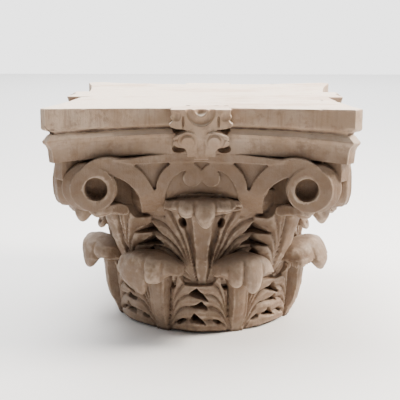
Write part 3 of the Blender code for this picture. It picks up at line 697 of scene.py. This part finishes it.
volute_band = [band_outer(angle) for angle in span(-100.0, 176.0, 64)]
volute_band += [band_inner(angle) for angle in span(188.0, 147.0, 20)]
volute_band += [band_fade(angle) for angle in span(144.0, 40.0, 24)]
volute_band += [polar(EYE_X, EYE_Z, EYE_RADIUS, angle) for angle in span(30.0, -90.0, 16)]
ring = [polar(RING_X, EYE_Z, RING_RADIUS - 0.5, angle) for angle in span(0.0, 354.0, 60)]
band_root = [band_outer(angle) for angle in span(150.0, 184.0, 12)] + [(86.0, STEM_FOOT), (106.0, STEM_FOOT)]
band_root += [band_inner(angle) for angle in span(206.0, 172.0, 12)]
scroll_band = [helix_outer(angle) for angle in span(0.0, 138.0, 28)]
scroll_band += [(0.0, 328.0)] + [polar(18.0, 334.0, 18.0, angle) for angle in span(-125.0, 48.0, 24)]
scroll_band += [(26.0, 350.0)] + [helix_inner(angle) for angle in span(84.0, 0.0, 20)]
scroll_band += [(72.0, STEM_FOOT), (92.0, STEM_FOOT)]
panel = [(-1.0, STEM_FOOT), (-1.0, LIP_TOP - 2.0), (140.0, LIP_TOP - 2.0), band_inner(178.0)]
panel += [(104.0, STEM_FOOT)]
field = [(-1.0, STEM_FOOT), (-1.0, 352.0), (26.0, 352.0), (50.0, 338.0), (68.0, 312.0), (76.0, STEM_FOOT)]
stem = [(84.0, 313.0), (97.0, 313.0), (121.0, 306.0), (120.0, 292.0), (119.5, 276.0), (121.0, STEM_FOOT)]
stem += [(76.0, STEM_FOOT), (80.0, 285.0)]
web = [(-1.0, 340.0), (-1.0, 371.0), (20.0, 371.0), (12.0, 350.0)]
lip = [(-1.0, 366.0), (-1.0, LIP_TOP + 10.0), (60.0, LIP_TOP + 8.5), (100.0, LIP_TOP + 5.0)]
lip += [(135.0, LIP_TOP + 1.0), (165.0, LIP_TOP), (150.0, 371.0), (128.0, 366.0)]
print("the volute band has", len(volute_band), "points")

# %% [markdown]
# Behind its ring each volute is a thick roll that widens towards the corner, where it meets its neighbour
# from the next side. A wedge of stone on the diagonal carries both.
# %% Rolls and corner wedges
DRILL_LENGTH = 44.0
DRILL_SINK = 12.0
# Each station is its depth behind the face, its shift towards the corner, and its radius.
ROLL = ((2.6, 0.0, 42.5), (4.0, 2.5, 44.0), (11.0, 15.0, 46.0), (26.0, 17.0, 46.5), (48.0, 17.0, 46.0))


def roll_shape(mirror):
    depths, shifts, radii = (np.array(column) for column in zip(*ROLL))

    def shape(around, along_share):
        place = along_share * (len(ROLL) - 1)
        order = np.arange(len(ROLL))
        depth = np.interp(place, order, depths)
        shift = np.interp(place, order, shifts)
        radius = np.interp(place, order, radii)
        angle = 2.0 * math.pi * around
        across = RING_X + shift + radius * np.cos(angle)
        up = EYE_Z + 0.1 * shift + radius * np.sin(angle)
        lean = RING_LEAN * np.maximum(LEAN_TOP - up, 0.0)
        return np.column_stack((mirror * across, -(FACE_PLANE - depth - lean), up))
    return shape


def wedge(name, near, far, half_near, half_far, low_near, low_far, high):
    """A tapered block along the diagonal towards the corner at +X and -Y."""
    bpy.ops.object.select_all(action="DESELECT")
    bpy.ops.mesh.primitive_cube_add(size=2.0, location=(0.0, 0.0, 0.0))
    piece = bpy.context.active_object
    piece.name = name
    points = []
    for x, y, z in read_points(piece):
        out, half, low = (far, half_far, low_far) if x > 0 else (near, half_near, low_near)
        up = high if z > 0 else low
        points.append(((out + y * half) / math.sqrt(2), (-out + y * half) / math.sqrt(2), up))
    write_points(piece, np.array(points) * PART)
    return piece


def eye_drill(mirror):
    """The drill that bored the eye, a plain cylinder."""
    bpy.ops.object.select_all(action="DESELECT")
    bpy.ops.mesh.primitive_cylinder_add(
        vertices=48,
        radius=EYE_RADIUS * PART,
        depth=DRILL_LENGTH * PART,
        location=(mirror * EYE_X * PART, -(FACE_PLANE - DRILL_SINK) * PART, EYE_Z * PART),
        rotation=(QUARTER, 0.0, 0.0),
    )
    drill = bpy.context.active_object
    bpy.ops.object.transform_apply(location=True, rotation=True, scale=True)
    return drill


print("rolls, wedges and the eye's drill are ready")

# %% [markdown]
# One face is built from its plates, rolls and wedges and melted together. Only then are the eyes drilled,
# so that their rims stay crisp. A mason repeats the face three times by measuring, and here three copies
# are turned.
# %% Build one face, then copy it to the other sides
WALL_VOXEL = 1.6
WALL_TRIANGLES = 84000
WALL_WEAR = (34.0, 2.2)
RING_BACK = FACE_PLANE - 36.0
WALL_BACK = 150.0

face_parts = []
for outline, recess, back in (
    (volute_band, 0.0, RING_BACK),
    (ring, 2.5, RING_BACK),
    (band_root, 0.0, WALL_BACK),
    (scroll_band, 0.0, WALL_BACK),
    (stem, 0.6, WALL_BACK),
    (web, 4.0, WALL_BACK),
    (panel, 10.0, WALL_BACK),
    (field, 7.0, WALL_BACK),
    (lip, -2.0, WALL_BACK),
):
    face_parts.append(plate("plate", outline, recess, back))
    face_parts.append(plate("plate", mirrored(outline), recess, back))
for mirror in (1.0, -1.0):
    face_parts.append(rolled("roll", 96, 8, roll_shape(mirror)))
diagonal = math.sqrt(2) * FACE_PLANE
face_parts.append(wedge(
    "corner_wedge", near=WALL_BACK, far=diagonal - 62.0, half_near=26.0, half_far=22.0,
    low_near=256.0, low_far=280.0, high=LIP_TOP,
))
face_parts.append(wedge(
    "corner_block", near=diagonal - 80.0, far=diagonal - 24.0, half_near=18.0, half_far=12.0,
    low_near=336.0, low_far=336.0, high=LIP_TOP,
))
wall = fused(joined("wall_0", face_parts), WALL_VOXEL, 1)
weathered(wall, "wall_wear", *WALL_WEAR, 0)
for mirror in (1.0, -1.0):
    drill = eye_drill(mirror)
    apply_modifier(wall, "BOOLEAN", object=drill, operation="DIFFERENCE", solver="EXACT")
    bpy.data.objects.remove(drill, do_unlink=True)
print("one wall before thinning:", triangles(wall))
thinned(wall, WALL_TRIANGLES)
walls = [wall]
for side in range(1, SIDES):
    copy = copied(wall, side)
    copy.name = f"wall_{side}"
    walls.append(copy)

# %% [markdown]
# ## The abacus
# A square slab with hollow sides and cut corners: a plate with a bevelled lower edge, a groove, and a
# hollow moulding that draws in to the bell. Its section is the same all round, so it is one more rolled
# grid: the way round is the plan, and the way along is the section, from under the slab up its side and
# in over the top.
# %% Section and plan of the abacus
# The cuts of the four corners, anticlockwise from the one at +X and -Y. The front left one is the sharpest.
CORNER_CUTS = (16.0, 18.0, 18.0, 11.0)
ABACUS_AROUND = 700
# Each level is its inset, the hollow of its side, and its height at the corner and in the middle of a side.
SECTION = (
    (150.0, 20.0, 372.0, 376.0), (34.0, 39.0, 370.0, 377.0), (14.0, 39.5, 369.0, 382.5),
    (11.5, 39.0, 369.6, 383.5), (11.0, 39.0, 372.5, 386.5), (10.0, 39.0, 383.0, 396.5),
    (9.0, 39.0, 395.0, 408.0), (6.5, 39.0, 402.0, 415.0), (2.6, 39.0, 407.0, 419.5),
    (0.8, 39.0, 410.5, 423.0), (1.4, 39.0, 412.5, 424.5), (9.5, 39.0, 423.0, 431.5),
    (13.5, 39.0, 425.5, 433.5), (13.0, 39.0, 427.5, 435.0), (4.0, 38.5, 431.5, 438.5),
    (0.8, 38.5, 434.0, 440.5), (0.0, 38.5, 437.0, 443.0), (0.0, 38.0, 450.0, 453.0),
    (0.0, 38.0, 472.0, 469.5), (0.6, 38.0, 474.2, 472.2), (2.4, 38.0, 475.0, 473.4),
    (40.0, 34.0, 475.0, 474.6), (299.0, 0.0, 475.0, 475.0),
)
SECTION_STEPS = (6, 4, 2, 2, 5, 5, 4, 3, 3, 2, 6, 3, 2, 5, 3, 2, 6, 10, 2, 2, 10, 40)


# Worn edges: the height of an arris at the corner, how far the wear spreads from it, and its deepest bites.
ARRISES = ((475.0, 2.5, 7.0), (434.0, 3.0, 5.5), (410.5, 2.5, 2.5), (369.0, 3.0, 5.0))


def plan(around, inset, hollow):
    """Points of one level: four hollow sides, each 24 of 25 shares long, and the cut corners between them."""
    place = around * SIDES
    side = np.minimum(np.floor(place), SIDES - 1)
    share = np.clip((place - side) * 25.0 / 24.0, 0.0, 1.0) * 2.0 - 1.0
    reach = np.maximum(HALF - inset, 1.0)
    cuts = np.array(CORNER_CUTS)
    turn = side.astype(int)
    cut_here = cuts[turn] * reach / HALF
    cut_before = cuts[turn - 1] * reach / HALF
    start, end = cut_before - reach, reach - cut_here
    hollow_here = hollow * (1.0 - share * share)
    # The rest of each side's span crosses the cut corner to where the next side starts.
    rest = np.clip(((place - side) - 24.0 / 25.0) * 25.0, 0.0, 1.0)
    x = start + (end - start) * (share + 1.0) / 2 + rest * cut_here
    y = -(reach - hollow_here) + rest * cut_here
    angle = side * QUARTER
    return x * np.cos(angle) - y * np.sin(angle), x * np.sin(angle) + y * np.cos(angle), share


def abacus_shape(around, along_share):
    ticks = np.concatenate(([0], np.cumsum(SECTION_STEPS)))
    place = along_share * ticks[-1]
    levels = np.array(SECTION)
    inset, hollow, up_corner, up_middle = (np.interp(place, ticks, levels[:, column]) for column in range(4))
    turn = 360.0 * around
    for arris, spread, bite in ARRISES:
        near = np.exp(-((up_corner - arris) / spread) ** 2) * (inset < 30.0)
        knock = waver(turn, 0.0, arris) + waver(2.3 * turn, 0.0, 0.7 * arris)
        knock = knock + waver(5.0 * turn, 0.0, 1.9 * arris)
        inset = inset + near * (0.2 + bite * np.clip(knock - 0.9, 0.0, 1.0))
    x, y, share = plan(around, inset, hollow)
    up = up_corner + (up_middle - up_corner) * (1.0 - share * share)
    return np.column_stack((x, y, up))


abacus = rolled("abacus", ABACUS_AROUND, sum(SECTION_STEPS), abacus_shape)
print("abacus:", triangles(abacus))

# %% [markdown]
# ## The bosses
# In the middle of each side of the abacus sits a boss: a flower above, whose top is broken off level with
# the slab, and a stem with two curled leaves below, undercut with four deep drill holes. It is built from
# plates like the wall, but with leaning fronts, and melted together.
# %% Draw and build one boss
BOSS_HALF = (
    (0.0, 410.0), (8.0, 418.0), (20.0, 430.0), (33.0, 434.0), (46.0, 435.0), (57.0, 439.0), (60.0, 444.0),
    (51.0, 451.0), (58.0, 457.0), (54.0, 463.0), (57.0, 473.2), (0.0, 473.2),
)
BOSS_LEAF = (
    (7.0, 378.0), (27.0, 378.0), (28.0, 391.0), (32.0, 397.0), (43.0, 398.0), (53.0, 403.0), (54.0, 409.0),
    (47.0, 411.5), (53.0, 415.0), (51.0, 420.0), (42.0, 424.0), (31.0, 429.0), (22.0, 430.0), (13.0, 426.0),
    (8.0, 414.0),
)
BOSS_STEM = (
    (-14.0, 372.0), (14.0, 372.0), (8.0, 400.0), (4.0, 420.0), (-4.0, 420.0), (-8.0, 400.0),
)
FLOWER_LOW = 272.0
FLOWER_HIGH = 292.0
LEAF_LOW = 254.0
LEAF_HIGH = 284.0
BOSS_BACK = 205.0


def slab(name, outline, front_low, front_high, crown):
    """A plate whose front leans from its lowest to its highest point and swells in the middle."""
    piece = plate(name, outline, 0.0, BOSS_BACK, strips=3.0)
    points = read_points(piece)
    low, high = points[:, 2].min(), points[:, 2].max()
    left, right = points[:, 0].min(), points[:, 0].max()
    lean = front_low + (front_high - front_low) * (points[:, 2] - low) / (high - low)
    across = (2.0 * points[:, 0] - left - right) / (right - left)
    upward = (2.0 * points[:, 2] - low - high) / (high - low)
    lean = lean + crown * (1.0 - 0.5 * across ** 2 - 0.5 * upward ** 2)
    front = points[:, 1] < -(BOSS_BACK + 1.0) * PART
    points[:, 1] = np.where(front, -lean * PART, points[:, 1])
    write_points(piece, points)
    return piece


def ball(across, depth, up, radii, tilt):
    """An ellipsoid cutter or lump: its half axes across, along the stone's face and into it."""
    bpy.ops.object.select_all(action="DESELECT")
    bpy.ops.mesh.primitive_uv_sphere_add(
        segments=40,
        ring_count=24,
        radius=PART,
        location=(across * PART, -depth * PART, up * PART),
        rotation=(math.radians(tilt), 0.0, 0.0),
        scale=radii,
    )
    bpy.ops.object.transform_apply(location=True, rotation=True, scale=True)
    return bpy.context.active_object


def carve(piece, cutters, operation="DIFFERENCE"):
    cutter = joined("cutter", cutters) if len(cutters) > 1 else cutters[0]
    apply_modifier(piece, "BOOLEAN", object=cutter, operation=operation, solver="EXACT")
    bpy.data.objects.remove(cutter, do_unlink=True)
    return piece


print("the boss is", 2.0 * max(across for across, up in BOSS_HALF), "parts wide")

# %% [markdown]
# The boss starts as flat petals and leaves. A ring-shaped cutter then sinks the groove round its dish,
# and smaller cutters hollow the leaves, part the petals and round their edges, as a gouge does in stone.
# %% Build and carve one boss
FACE_TILT = 105.0
BOSS_VOXEL = 1.5
CARVED_VOXEL = 1.1
BOSS_TRIANGLES = 24000
LEAF_CURL = 25.0
flower = list(BOSS_HALF) + mirrored(BOSS_HALF[1:-1])
boss_parts = [slab("flower", flower, FLOWER_LOW, FLOWER_HIGH, 1.0)]
boss_parts += [slab("stem", BOSS_STEM, 250.0, 276.0, 0.0)]
boss_parts += [slab("leaf", BOSS_LEAF, LEAF_LOW, LEAF_HIGH, 5.0)]
boss_parts += [slab("leaf", mirrored(BOSS_LEAF), LEAF_LOW, LEAF_HIGH, 5.0)]
boss = fused(joined("boss_0", boss_parts), BOSS_VOXEL, 1)
dish_centre = (0.0, -FLOWER_HIGH, DRAWN_HEIGHT)
carve(boss, [torus(21.5, 6.4, (64, 20), dish_centre, FACE_TILT, stretch=(1.0, 1.3, 1.0))])
carve(boss, [ball(0.0, FLOWER_HIGH, DRAWN_HEIGHT, (12.0, 15.0, 9.0), FACE_TILT)])
for mirror in (1.0, -1.0):
    carve(boss, [torus(16.0, 4.4, (48, 16), (mirror * LEAF_CURL, -277.0, 409.0), FACE_TILT)])
    carve(boss, [ball(mirror * 47.0, 281.0, 413.0, (8.0, 3.0, 6.0), FACE_TILT)])
    carve(boss, [ball(mirror * 45.0, 289.5, 458.0, (9.0, 10.0, 5.5), FACE_TILT)])
    carve(boss, [ball(mirror * 33.0, 286.0, 448.0, (2.6, 13.0, 8.0), FACE_TILT)])
fused(boss, CARVED_VOXEL, 1)
thinned(boss, BOSS_TRIANGLES)
bosses = [boss]
for side in range(1, SIDES):
    copy = copied(boss, side)
    copy.name = f"boss_{side}"
    bosses.append(copy)
print("bosses:", triangles(boss), "triangles each")

# %% [markdown]
# The mason freed each boss with four drill holes, two above its leaves and two below. They go into the
# abacus, behind the boss, and stay black in the photo.
# %% Drill the holes beside the bosses
ABACUS_TRIANGLES = 150000
ABACUS_WEAR = (30.0, 2.2)
BORE_SINK = 38.0
BORE_LENGTH = 30.0
# A bored hole is its place across and up, and its half width and half height.
BORE_HOLES = ((41.0, 431.5, 14.0, 9.0), (43.0, 393.0, 13.5, 8.5))
drills = []
for across, up, half_wide, half_high in BORE_HOLES:
    for mirror in (1.0, -1.0):
        radii = (half_wide, half_high, BORE_LENGTH)
        drills.append(ball(mirror * across, HALF - BORE_SINK, up, radii, 90.0))
bore = joined("bore", drills)
drills = [bore] + [copied(bore, side) for side in range(1, SIDES)]
carve(abacus, drills)
weathered(abacus, "abacus_wear", *ABACUS_WEAR, 1)
thinned(abacus, ABACUS_TRIANGLES)
print("abacus after drilling:", triangles(abacus))

# %% [markdown]
# ## The stone
# Aged marble: pale on top, partly clean stone and partly painted top light; tanned on the faces; browner
# under the abacus, partly patina and partly painted shade;
# and dark brown in every furrow, partly grime and partly painted shade. The patterns are procedural and read
# object coordinates. The dark of the furrows needs to know the carving, so it is
# measured on the mesh: a point that lies deeper than the average of the skin around it is in a furrow.
# %% Measure the dirt and painted shade in the furrows
# Rounds of softening, the depth in parts that counts as full, and the strength at full depth.
CAVITY_DARK_SCALES = ((8, 1.0, 0.9), (50, 3.2, 0.8), (200, 8.0, 0.2))
# The share of dirt and painted shade kept in the eyes of the volutes, and how deep behind the face they are
# looked for.
EYE_DARK_SHARE = 0.3
EYE_DEPTH = 45.0
WORN_ROUNDS = 12
WORN_HEIGHT = 1.5


def softened(piece, rounds):
    """The piece's vertices after that many rounds of smoothing, measured on a copy."""
    only(piece)
    bpy.ops.object.duplicate()
    soft = bpy.context.active_object
    apply_modifier(soft, "SMOOTH", factor=0.6, iterations=rounds)
    points = read_points(soft)
    bpy.data.objects.remove(soft, do_unlink=True)
    return points


def store_dirt_shade_and_wear(piece):
    """Store two numbers from 0 to 1 for each vertex: dirt and painted shade in the furrows and recesses, and
    wear on the edges.
    """
    normals = np.empty(len(piece.data.vertices) * 3)
    piece.data.vertices.foreach_get("normal", normals)
    normals = normals.reshape(-1, 3)
    start = read_points(piece)
    dirt_and_shade = np.zeros(len(start))
    for rounds, depth, strength in CAVITY_DARK_SCALES:
        below = ((softened(piece, rounds) - start) * normals).sum(axis=1) / (depth * PART)
        dirt_and_shade = np.maximum(dirt_and_shade, strength * np.clip(below, 0.0, 1.0))
    for across, back in ((0, 1), (1, 0)):
        # The eyes of the volutes are wide and open, so only a small share of the dirt and painted shade is
        # kept in them.
        from_eye = np.hypot(np.abs(start[:, across]) / PART - EYE_X, start[:, 2] / PART - EYE_Z)
        in_eye = (from_eye < EYE_RADIUS + 1.0) & (np.abs(start[:, back]) / PART > FACE_PLANE - EYE_DEPTH)
        dirt_and_shade = np.where(in_eye, EYE_DARK_SHARE * dirt_and_shade, dirt_and_shade)
    above = ((start - softened(piece, WORN_ROUNDS)) * normals).sum(axis=1) / (WORN_HEIGHT * PART)
    for name, values in (("dirt_and_shade", dirt_and_shade), ("worn", np.clip(above, 0.0, 1.0))):
        layer = piece.data.attributes.new(name, "FLOAT", "POINT")
        layer.data.foreach_set("value", values)


# Dirt and painted shade in the hollows, and wear on the edges, are measured on every piece.
for piece in [lower, upper, abacus] + walls + bosses:
    store_dirt_shade_and_wear(piece)
print("dirt measured on", len(walls) + len(bosses) + 3, "pieces")

# %% [markdown]
# One material for the whole block. The layers are mixed from the ground up: the marble's own mottling,
# the tan of its faces, reddish and greenish stains, a browner band under the abacus that is partly patina and
# partly painted shade, the paler upper surfaces that are partly clean stone and partly painted top light, and
# last the dirt and painted shade of the furrows.
# A little bump adds the grain and the upright strokes of the claw chisel on the abacus.
# %% Marble material
GREY_STONE = (0.355, 0.262, 0.19, 1.0)
TAN_STONE = (0.25, 0.165, 0.104, 1.0)
BROWN_STAIN = (0.165, 0.10, 0.06, 1.0)
WORN_EDGE = (0.46, 0.35, 0.26, 1.0)
RED_STAIN = (0.30, 0.15, 0.09, 1.0)
GREEN_STAIN = (0.24, 0.19, 0.10, 1.0)
# Browner stone under the abacus: partly patina, partly painted shade of its overhang.
PATINA_AND_SHADE_BROWN = (0.13, 0.078, 0.045, 1.0)
# Pale cream for upward surfaces: partly clean stone, partly painted top light.
CLEAN_STONE_AND_TOP_LIGHT = (0.82, 0.69, 0.565, 1.0)
# Near-black brown for the dirt and painted shade in the hollows, and for the painted shadow at the bed.
DIRT_AND_SHADE_DARK = (0.052, 0.027, 0.014, 1.0)
TOP_STAIN = (0.60, 0.40, 0.285, 1.0)
EVEN = (1.0, 1.0, 1.0)
RANGE_SOCKETS = ("From Min", "From Max", "To Min", "To Max")
# A stain is its noise's scale, detail, stretch and roughness, the values between which it comes in, how
# far it covers, and its colour. The second one runs in upright streaks.
STAINS = (
    (34.0, 8.0, EVEN, 0.7, 0.50, 0.66, 0.70, BROWN_STAIN),
    (1.0, 4.0, (110.0, 110.0, 10.0), 0.6, 0.50, 0.70, 0.45, BROWN_STAIN),
    (5.0, 6.0, (1.0, 1.0, 1.8), 0.6, 0.54, 0.76, 0.55, RED_STAIN),
    (14.0, 6.0, EVEN, 0.6, 0.60, 0.80, 0.50, GREEN_STAIN),
)


def marble(name):
    material = bpy.data.materials.new(name)
    material.use_nodes = True
    nodes, links = material.node_tree.nodes, material.node_tree.links
    shader = nodes["Principled BSDF"]
    place = nodes.new("ShaderNodeTexCoord")

    def noise(scale, detail, stretch=EVEN, roughness=0.6):
        mapping = nodes.new("ShaderNodeMapping")
        mapping.inputs["Scale"].default_value = stretch
        texture = nodes.new("ShaderNodeTexNoise")
        texture.inputs["Scale"].default_value = scale
        texture.inputs["Detail"].default_value = detail
        texture.inputs["Roughness"].default_value = roughness
        links.new(place.outputs["Object"], mapping.inputs["Vector"])
        links.new(mapping.outputs["Vector"], texture.inputs["Vector"])
        return texture.outputs["Fac"]

    def ranged(value, low, high, to_low=0.0, to_high=1.0):
        node = nodes.new("ShaderNodeMapRange")
        node.interpolation_type = "SMOOTHSTEP"
        for socket, number in zip(RANGE_SOCKETS, (low, high, to_low, to_high)):
            node.inputs[socket].default_value = number
        links.new(value, node.inputs["Value"])
        return node.outputs["Result"]

    def product(first, second):
        node = nodes.new("ShaderNodeMath")
        node.operation = "MULTIPLY"
        links.new(first, node.inputs[0])
        links.new(second, node.inputs[1])
        return node.outputs["Value"]

    def mixed(share, below, above):
        node = nodes.new("ShaderNodeMix")
        node.data_type = "RGBA"
        links.new(share, node.inputs["Factor"])
        for socket, color in ((node.inputs[6], below), (node.inputs[7], above)):
            if isinstance(color, tuple):
                socket.default_value = color
            else:
                links.new(color, socket)
        return node.outputs[2]

    color = mixed(ranged(noise(9.0, 8.0), 0.38, 0.62), GREY_STONE, TAN_STONE)
    for scale, detail, stretch, roughness, low, high, cover, stain in STAINS:
        color = mixed(ranged(noise(scale, detail, stretch, roughness), low, high, 0.0, cover), color, stain)
    # Under the abacus the stone is browner from the volutes down to the leaves: partly patina where no rain
    # washes it, partly painted shade of the abacus's overhang.
    heights = nodes.new("ShaderNodeSeparateXYZ")
    links.new(place.outputs["Object"], heights.inputs["Vector"])
    under = ranged(heights.outputs["Z"], 438.0 * PART, 345.0 * PART)
    patina_and_shade = product(under, ranged(heights.outputs["Z"], 0.0, 250.0 * PART, 0.55, 0.88))
    color = mixed(patina_and_shade, color, PATINA_AND_SHADE_BROWN)
    # Partly painted light: upward-facing surfaces, above all on the abacus, are painted paler, partly as
    # clean stone and partly as painted top light.
    geometry = nodes.new("ShaderNodeNewGeometry")
    upward = nodes.new("ShaderNodeSeparateXYZ")
    links.new(geometry.outputs["Normal"], upward.inputs["Vector"])
    top_light_and_wash = ranged(heights.outputs["Z"], BELL_TOP * PART, 465.0 * PART, 0.12, 0.95)
    color = mixed(product(ranged(upward.outputs["Z"], 0.25, 0.95), top_light_and_wash), color, CLEAN_STONE_AND_TOP_LIGHT)
    # The top is the bed for what the capital carried, blotched with faint warm stains.
    topmost = ranged(heights.outputs["Z"], 468.0 * PART, 474.0 * PART)
    blotches = ranged(noise(1.0, 9.0, (5.0, 13.0, 1.0), 0.68), 0.48, 0.66, 0.0, 0.75)
    color = mixed(product(topmost, blotches), color, TOP_STAIN)
    worn = nodes.new("ShaderNodeAttribute")
    worn.attribute_name = "worn"
    rubbed = ranged(noise(16.0, 6.0), 0.35, 0.65, 0.15, 1.0)
    color = mixed(product(ranged(worn.outputs["Fac"], 0.15, 0.90, 0.0, 0.70), rubbed), color, WORN_EDGE)
    # Dirt and painted shade: points lying deeper than the skin around them, in furrows, drill holes and
    # recesses, are painted dark brown.
    dirt_and_shade = nodes.new("ShaderNodeAttribute")
    dirt_and_shade.attribute_name = "dirt_and_shade"
    patchy = ranged(noise(26.0, 5.0), 0.25, 0.60, 0.65, 1.0)
    dirt_and_shade_share = product(ranged(dirt_and_shade.outputs["Fac"], 0.10, 0.95), patchy)
    color = mixed(dirt_and_shade_share, color, DIRT_AND_SHADE_DARK)
    # Painted shadow: the lowest edge, where the bed meets the floor, is painted near black.
    color = mixed(ranged(heights.outputs["Z"], 9.0 * PART, 3.0 * PART, 0.0, 0.75), color, DIRT_AND_SHADE_DARK)
    links.new(color, shader.inputs["Base Color"])
    links.new(ranged(noise(60.0, 4.0), 0.3, 0.7, 0.55, 0.85), shader.inputs["Roughness"])

    def bump(height, strength, distance, below=None):
        node = nodes.new("ShaderNodeBump")
        node.inputs["Strength"].default_value = strength
        node.inputs["Distance"].default_value = distance
        links.new(height, node.inputs["Height"])
        if below is not None:
            links.new(below, node.inputs["Normal"])
        return node.outputs["Normal"]

    strokes = bump(noise(1.0, 3.0, (150.0, 150.0, 9.0)), 0.55, 0.0020)
    grain = bump(noise(420.0, 4.0), 0.35, 0.0012, strokes)
    links.new(bump(noise(45.0, 6.0), 0.60, 0.0040, grain), shader.inputs["Normal"])
    return material


stone = marble("aged_marble")
capital = [lower, upper, abacus] + walls + bosses
for piece in capital:
    piece.data.materials.clear()
    piece.data.materials.append(stone)
    only(piece)
    if piece == abacus:
        bpy.ops.object.shade_smooth_by_angle(angle=math.radians(28.0))
    else:
        bpy.ops.object.shade_smooth()
    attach(piece, "root")
    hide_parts("corinthian_capital")
print("triangles in all:", sum(triangles(piece) for piece in capital))

# %% [markdown]
# ## Floor, light and camera
# The capital stands on a pale floor, as in a photographer's studio. A warm lamp on its right picks out the
# ribs, a broad one above whitens the top, and the world is dim in front and bright behind, so that the
# front stays in soft shade. The camera's numbers come from fitting the abacus, the volutes and the bed to
# the photo.
# %% Stage
bpy.ops.object.select_all(action="DESELECT")
bpy.ops.mesh.primitive_plane_add(size=14.0, location=(0.0, 0.0, block_box[0][2]))
floor = bpy.context.active_object
floor.name = "studio_floor"
pale = bpy.data.materials.new("pale_floor")
pale.use_nodes = True
floor_shader = pale.node_tree.nodes["Principled BSDF"]
floor_shader.inputs["Base Color"].default_value = (0.9, 0.9, 0.9, 1.0)
floor_shader.inputs["Roughness"].default_value = 0.9
floor.data.materials.append(pale)

world = bpy.data.worlds.new("studio")
bpy.context.scene.world = world
world.use_nodes = True
sky = world.node_tree
direction = sky.nodes.new("ShaderNodeTexCoord")
parts = sky.nodes.new("ShaderNodeSeparateXYZ")
glow = sky.nodes.new("ShaderNodeMapRange")
for socket, number in zip(RANGE_SOCKETS, (-0.5, 0.9, 0.10, 3.0)):
    glow.inputs[socket].default_value = number
sky.links.new(direction.outputs["Generated"], parts.inputs["Vector"])
sky.links.new(parts.outputs["Y"], glow.inputs["Value"])
sky.nodes["Background"].inputs["Color"].default_value = (1.0, 1.0, 1.0, 1.0)
sky.links.new(glow.outputs["Result"], sky.nodes["Background"].inputs["Strength"])


def area_light(name, place, aim, size, power, color):
    data = bpy.data.lights.new(name, "AREA")
    data.energy = power
    data.size = size
    data.color = color
    lamp = bpy.data.objects.new(name, data)
    bpy.context.scene.collection.objects.link(lamp)
    lamp.location = place
    lamp.rotation_euler = (Vector(aim) - Vector(place)).to_track_quat("-Z", "Y").to_euler()
    return lamp


area_light("key", (2.3, -0.1, 1.7), (0.0, 0.0, 0.3), 0.6, 200.0, (1.0, 0.91, 0.80))
area_light("top", (-0.5, 0.25, 2.6), (0.0, 0.0, 0.4), 1.4, 100.0, (1.0, 0.97, 0.93))
area_light("backdrop", (0.0, 4.5, 3.5), (0.0, 4.5, 0.0), 6.0, 420.0, (1.0, 1.0, 1.0))

PHOTO_WIDTH = 400.0
LENS_PIXELS = 862.0
CENTRE_SHIFT = 3.07
CAMERA_DISTANCE = 1.9247
CAMERA_SIDESTEP = -0.0045
CAMERA_TURN = 0.0301
CAMERA_RISE = 0.2186
aim = Vector((0.0, 0.0, DRAWN_HEIGHT * PART / 2))
level = math.cos(CAMERA_RISE)
back = Vector((math.sin(CAMERA_TURN) * level, -math.cos(CAMERA_TURN) * level, math.sin(CAMERA_RISE)))
camera_data = bpy.data.cameras.new("camera")
camera = bpy.data.objects.new("camera", camera_data)
bpy.context.scene.collection.objects.link(camera)
camera.location = aim + back * CAMERA_DISTANCE + Vector((CAMERA_SIDESTEP, 0.0, 0.0))
camera.rotation_euler = (-back).to_track_quat("-Z", "Y").to_euler()
camera_data.lens = LENS_PIXELS / PHOTO_WIDTH * camera_data.sensor_width
camera_data.shift_x = -CENTRE_SHIFT / PHOTO_WIDTH
bpy.context.scene.camera = camera
print("camera", round(CAMERA_DISTANCE, 2), "m away")
